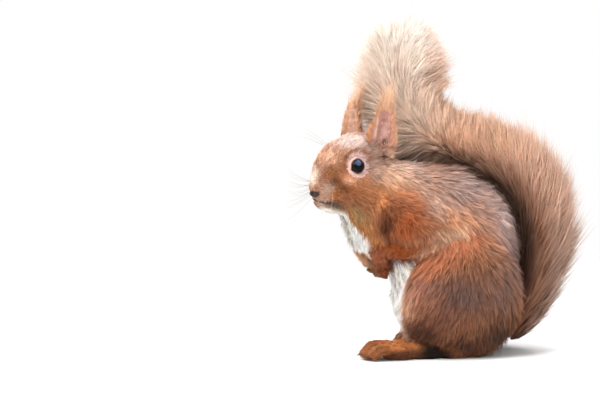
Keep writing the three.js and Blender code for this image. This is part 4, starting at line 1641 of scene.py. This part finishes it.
def claw_at(start, ahead, size, number):
    """A cone bent downward, set at a toe's tip."""
    bpy.ops.mesh.primitive_cone_add(
        vertices=12, radius1=CLAW_RADIUS * size, radius2=CLAW_TIP, depth=CLAW_LENGTH * size
    )
    made = bpy.context.active_object
    made.name = f"claw_{number}"
    bpy.ops.object.mode_set(mode="EDIT")
    bpy.ops.mesh.select_all(action="SELECT")
    bpy.ops.mesh.subdivide(number_cuts=3)
    bpy.ops.object.mode_set(mode="OBJECT")
    cone = np.empty(len(made.data.vertices) * 3)
    made.data.vertices.foreach_get("co", cone)
    cone = cone.reshape(-1, 3)
    along = cone[:, 2] + CLAW_LENGTH * size / 2
    share = along / (CLAW_LENGTH * size)
    forward = unit(np.array(ahead, float))
    aside = unit(np.cross(forward, (0, 0, 1)))
    over = np.cross(aside, forward)
    drop = 0.32 * CLAW_LENGTH * size * share**2
    round_size = (1 - share) ** 0.15
    placed = (
        np.array(start)
        + forward * along[:, None]
        + aside * (cone[:, 0] * 0.75 * round_size)[:, None]
        + over * (cone[:, 1] * round_size - drop)[:, None]
    )
    set_coordinates(made, placed)
    bpy.ops.object.shade_smooth()
    return made


deselect()
claws = []
for leg in LEGS.values():
    for x in TOES:
        spot = leg["foot"].out((TOE_SPREAD * x, toe_tip(x) - 1.2, 3.9))
        claws.append(claw_at(spot, leg["foot"].turned((0, -1, -0.22)), 0.85, len(claws)))
for arm in ARMS.values():
    for offset in FINGERS:
        line = finger_line(arm, offset)
        claws.append(claw_at(line[-1], unit(line[-1] - line[-2]) + (0, 0.3, 0), 0.45, len(claws)))
join(claws, claws[0])
claws = bpy.context.active_object
claws.name = "claws"
bpy.ops.object.mode_set(mode="EDIT")
bpy.ops.mesh.select_all(action="SELECT")
bpy.ops.mesh.normals_make_consistent(inside=False)
bpy.ops.object.mode_set(mode="OBJECT")
placed = coordinates(claws)
placed[:, 2] = np.maximum(placed[:, 2], 0.1)
set_coordinates(claws, placed)
claw_finish = Finish("claw", {"Roughness": 0.35})
streak = claw_finish.noise(700.0)
claw_finish.set("Base Color", claw_finish.blended(streak, (0.03, 0.02, 0.016, 1), (0.1, 0.07, 0.055, 1)))
claws.data.materials.clear()
claws.data.materials.append(claw_finish.material)
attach(claws, "root")

# ---------------------------------------------------------------- floor, light and camera
# The squirrel sits on a plain pale floor, in soft light from three lamps and a pale sky. The floor turns
# white away from the squirrel, so only its shadow shows.
deselect()
FLOOR_SIZE = 30.0
bpy.ops.mesh.primitive_plane_add(size=FLOOR_SIZE, location=(0, 0, 0))
floor = bpy.context.active_object
floor.name = "floor"
paper = Finish("floor", {"Roughness": 0.9, "Specular IOR Level": 0.1})
paper.set("Base Color", (0.82, 0.82, 0.81, 1))
spot = paper.node("ShaderNodeTexCoord", {}, {}).value("Object")
reach = paper.node("ShaderNodeVectorMath", {"operation": "LENGTH"}, {0: spot}).value("Value")
WHITENS = (0.16, 0.5)  # how far from the squirrel the floor begins to whiten and is white
fade = paper.node(
    "ShaderNodeMapRange", {"interpolation_type": "SMOOTHSTEP"}, {0: reach, 1: WHITENS[0], 2: WHITENS[1]}
).value("Result")
camera_ray = paper.node("ShaderNodeLightPath", {}, {}).value("Is Camera Ray")
glow = paper.node("ShaderNodeEmission", {}, {"Color": (1, 1, 1, 1), "Strength": 1.0})
mixed = paper.node("ShaderNodeMixShader", {}, {"Fac": fade * camera_ray})
paper.tree.links.new(paper.shader.outputs[0], mixed.own.inputs[1])
paper.tree.links.new(glow.own.outputs[0], mixed.own.inputs[2])
paper.tree.links.new(mixed.own.outputs[0], paper.tree.nodes["Material Output"].inputs["Surface"])
floor.data.materials.append(paper.material)

world = bpy.data.worlds.new("studio")
bpy.context.scene.world = world
world.use_nodes = True
sky = world.node_tree.nodes["Background"]
sky.inputs["Color"].default_value = (0.96, 0.98, 1.0, 1)
sky.inputs["Strength"].default_value = 0.66
white = world.node_tree.nodes.new("ShaderNodeBackground")
white.inputs["Strength"].default_value = 1.0
rays = world.node_tree.nodes.new("ShaderNodeLightPath")
choice = world.node_tree.nodes.new("ShaderNodeMixShader")
world.node_tree.links.new(rays.outputs["Is Camera Ray"], choice.inputs["Fac"])
world.node_tree.links.new(sky.outputs[0], choice.inputs[1])
world.node_tree.links.new(white.outputs[0], choice.inputs[2])
world.node_tree.links.new(choice.outputs[0], world.node_tree.nodes["World Output"].inputs["Surface"])

bpy.context.scene.view_settings.view_transform = "Standard"

CAMERA_TURN = 85
CAMERA_RISE = 6
CAMERA_FAR = 2500
CAMERA_ASIDE = -84.1
CAMERA_UP = 87.87
VIEW_WIDTH = 348
azimuth, rise = math.radians(CAMERA_TURN), math.radians(CAMERA_RISE)
right = np.array([math.cos(azimuth), math.sin(azimuth), 0])
toward = np.array([math.sin(azimuth) * math.cos(rise), -math.cos(azimuth) * math.cos(rise), math.sin(rise)])
upward = np.cross(toward, right)
spot = metres(right * CAMERA_ASIDE + upward * CAMERA_UP + toward * CAMERA_FAR)
bpy.ops.object.camera_add(location=spot, rotation=Vector(toward).to_track_quat("Z", "Y").to_euler())
camera = bpy.context.active_object
SENSOR = 36
camera.data.sensor_width = SENSOR
camera.data.lens = SENSOR * CAMERA_FAR / VIEW_WIDTH
camera.data.clip_start = 0.05
camera.data.clip_end = 50
bpy.context.scene.camera = camera


def lamp(name, azimuth, elevation, far, size, watts, colour):
    """A soft square lamp aimed at the squirrel's middle, turned from the camera's side of it."""
    a, e = math.radians(azimuth), math.radians(elevation)
    away = Vector((math.sin(a) * math.cos(e), -math.cos(a) * math.cos(e), math.sin(e)))
    aim = Vector((0, 0, 0.09))
    turn = away.to_track_quat("Z", "Y").to_euler()
    bpy.ops.object.light_add(type="AREA", location=aim + away * far, rotation=turn)
    made = bpy.context.active_object
    made.name = name
    made.data.size = size
    made.data.energy = watts
    made.data.color = colour


lamp("key", 36, 48, 0.75, 0.55, 7.5, (1.0, 0.98, 0.95))
lamp("fill", 112, 24, 1.0, 0.8, 3.3, (0.95, 0.97, 1.0))
lamp("top", 200, 68, 0.9, 0.5, 8.3, (1.0, 1.0, 1.0))
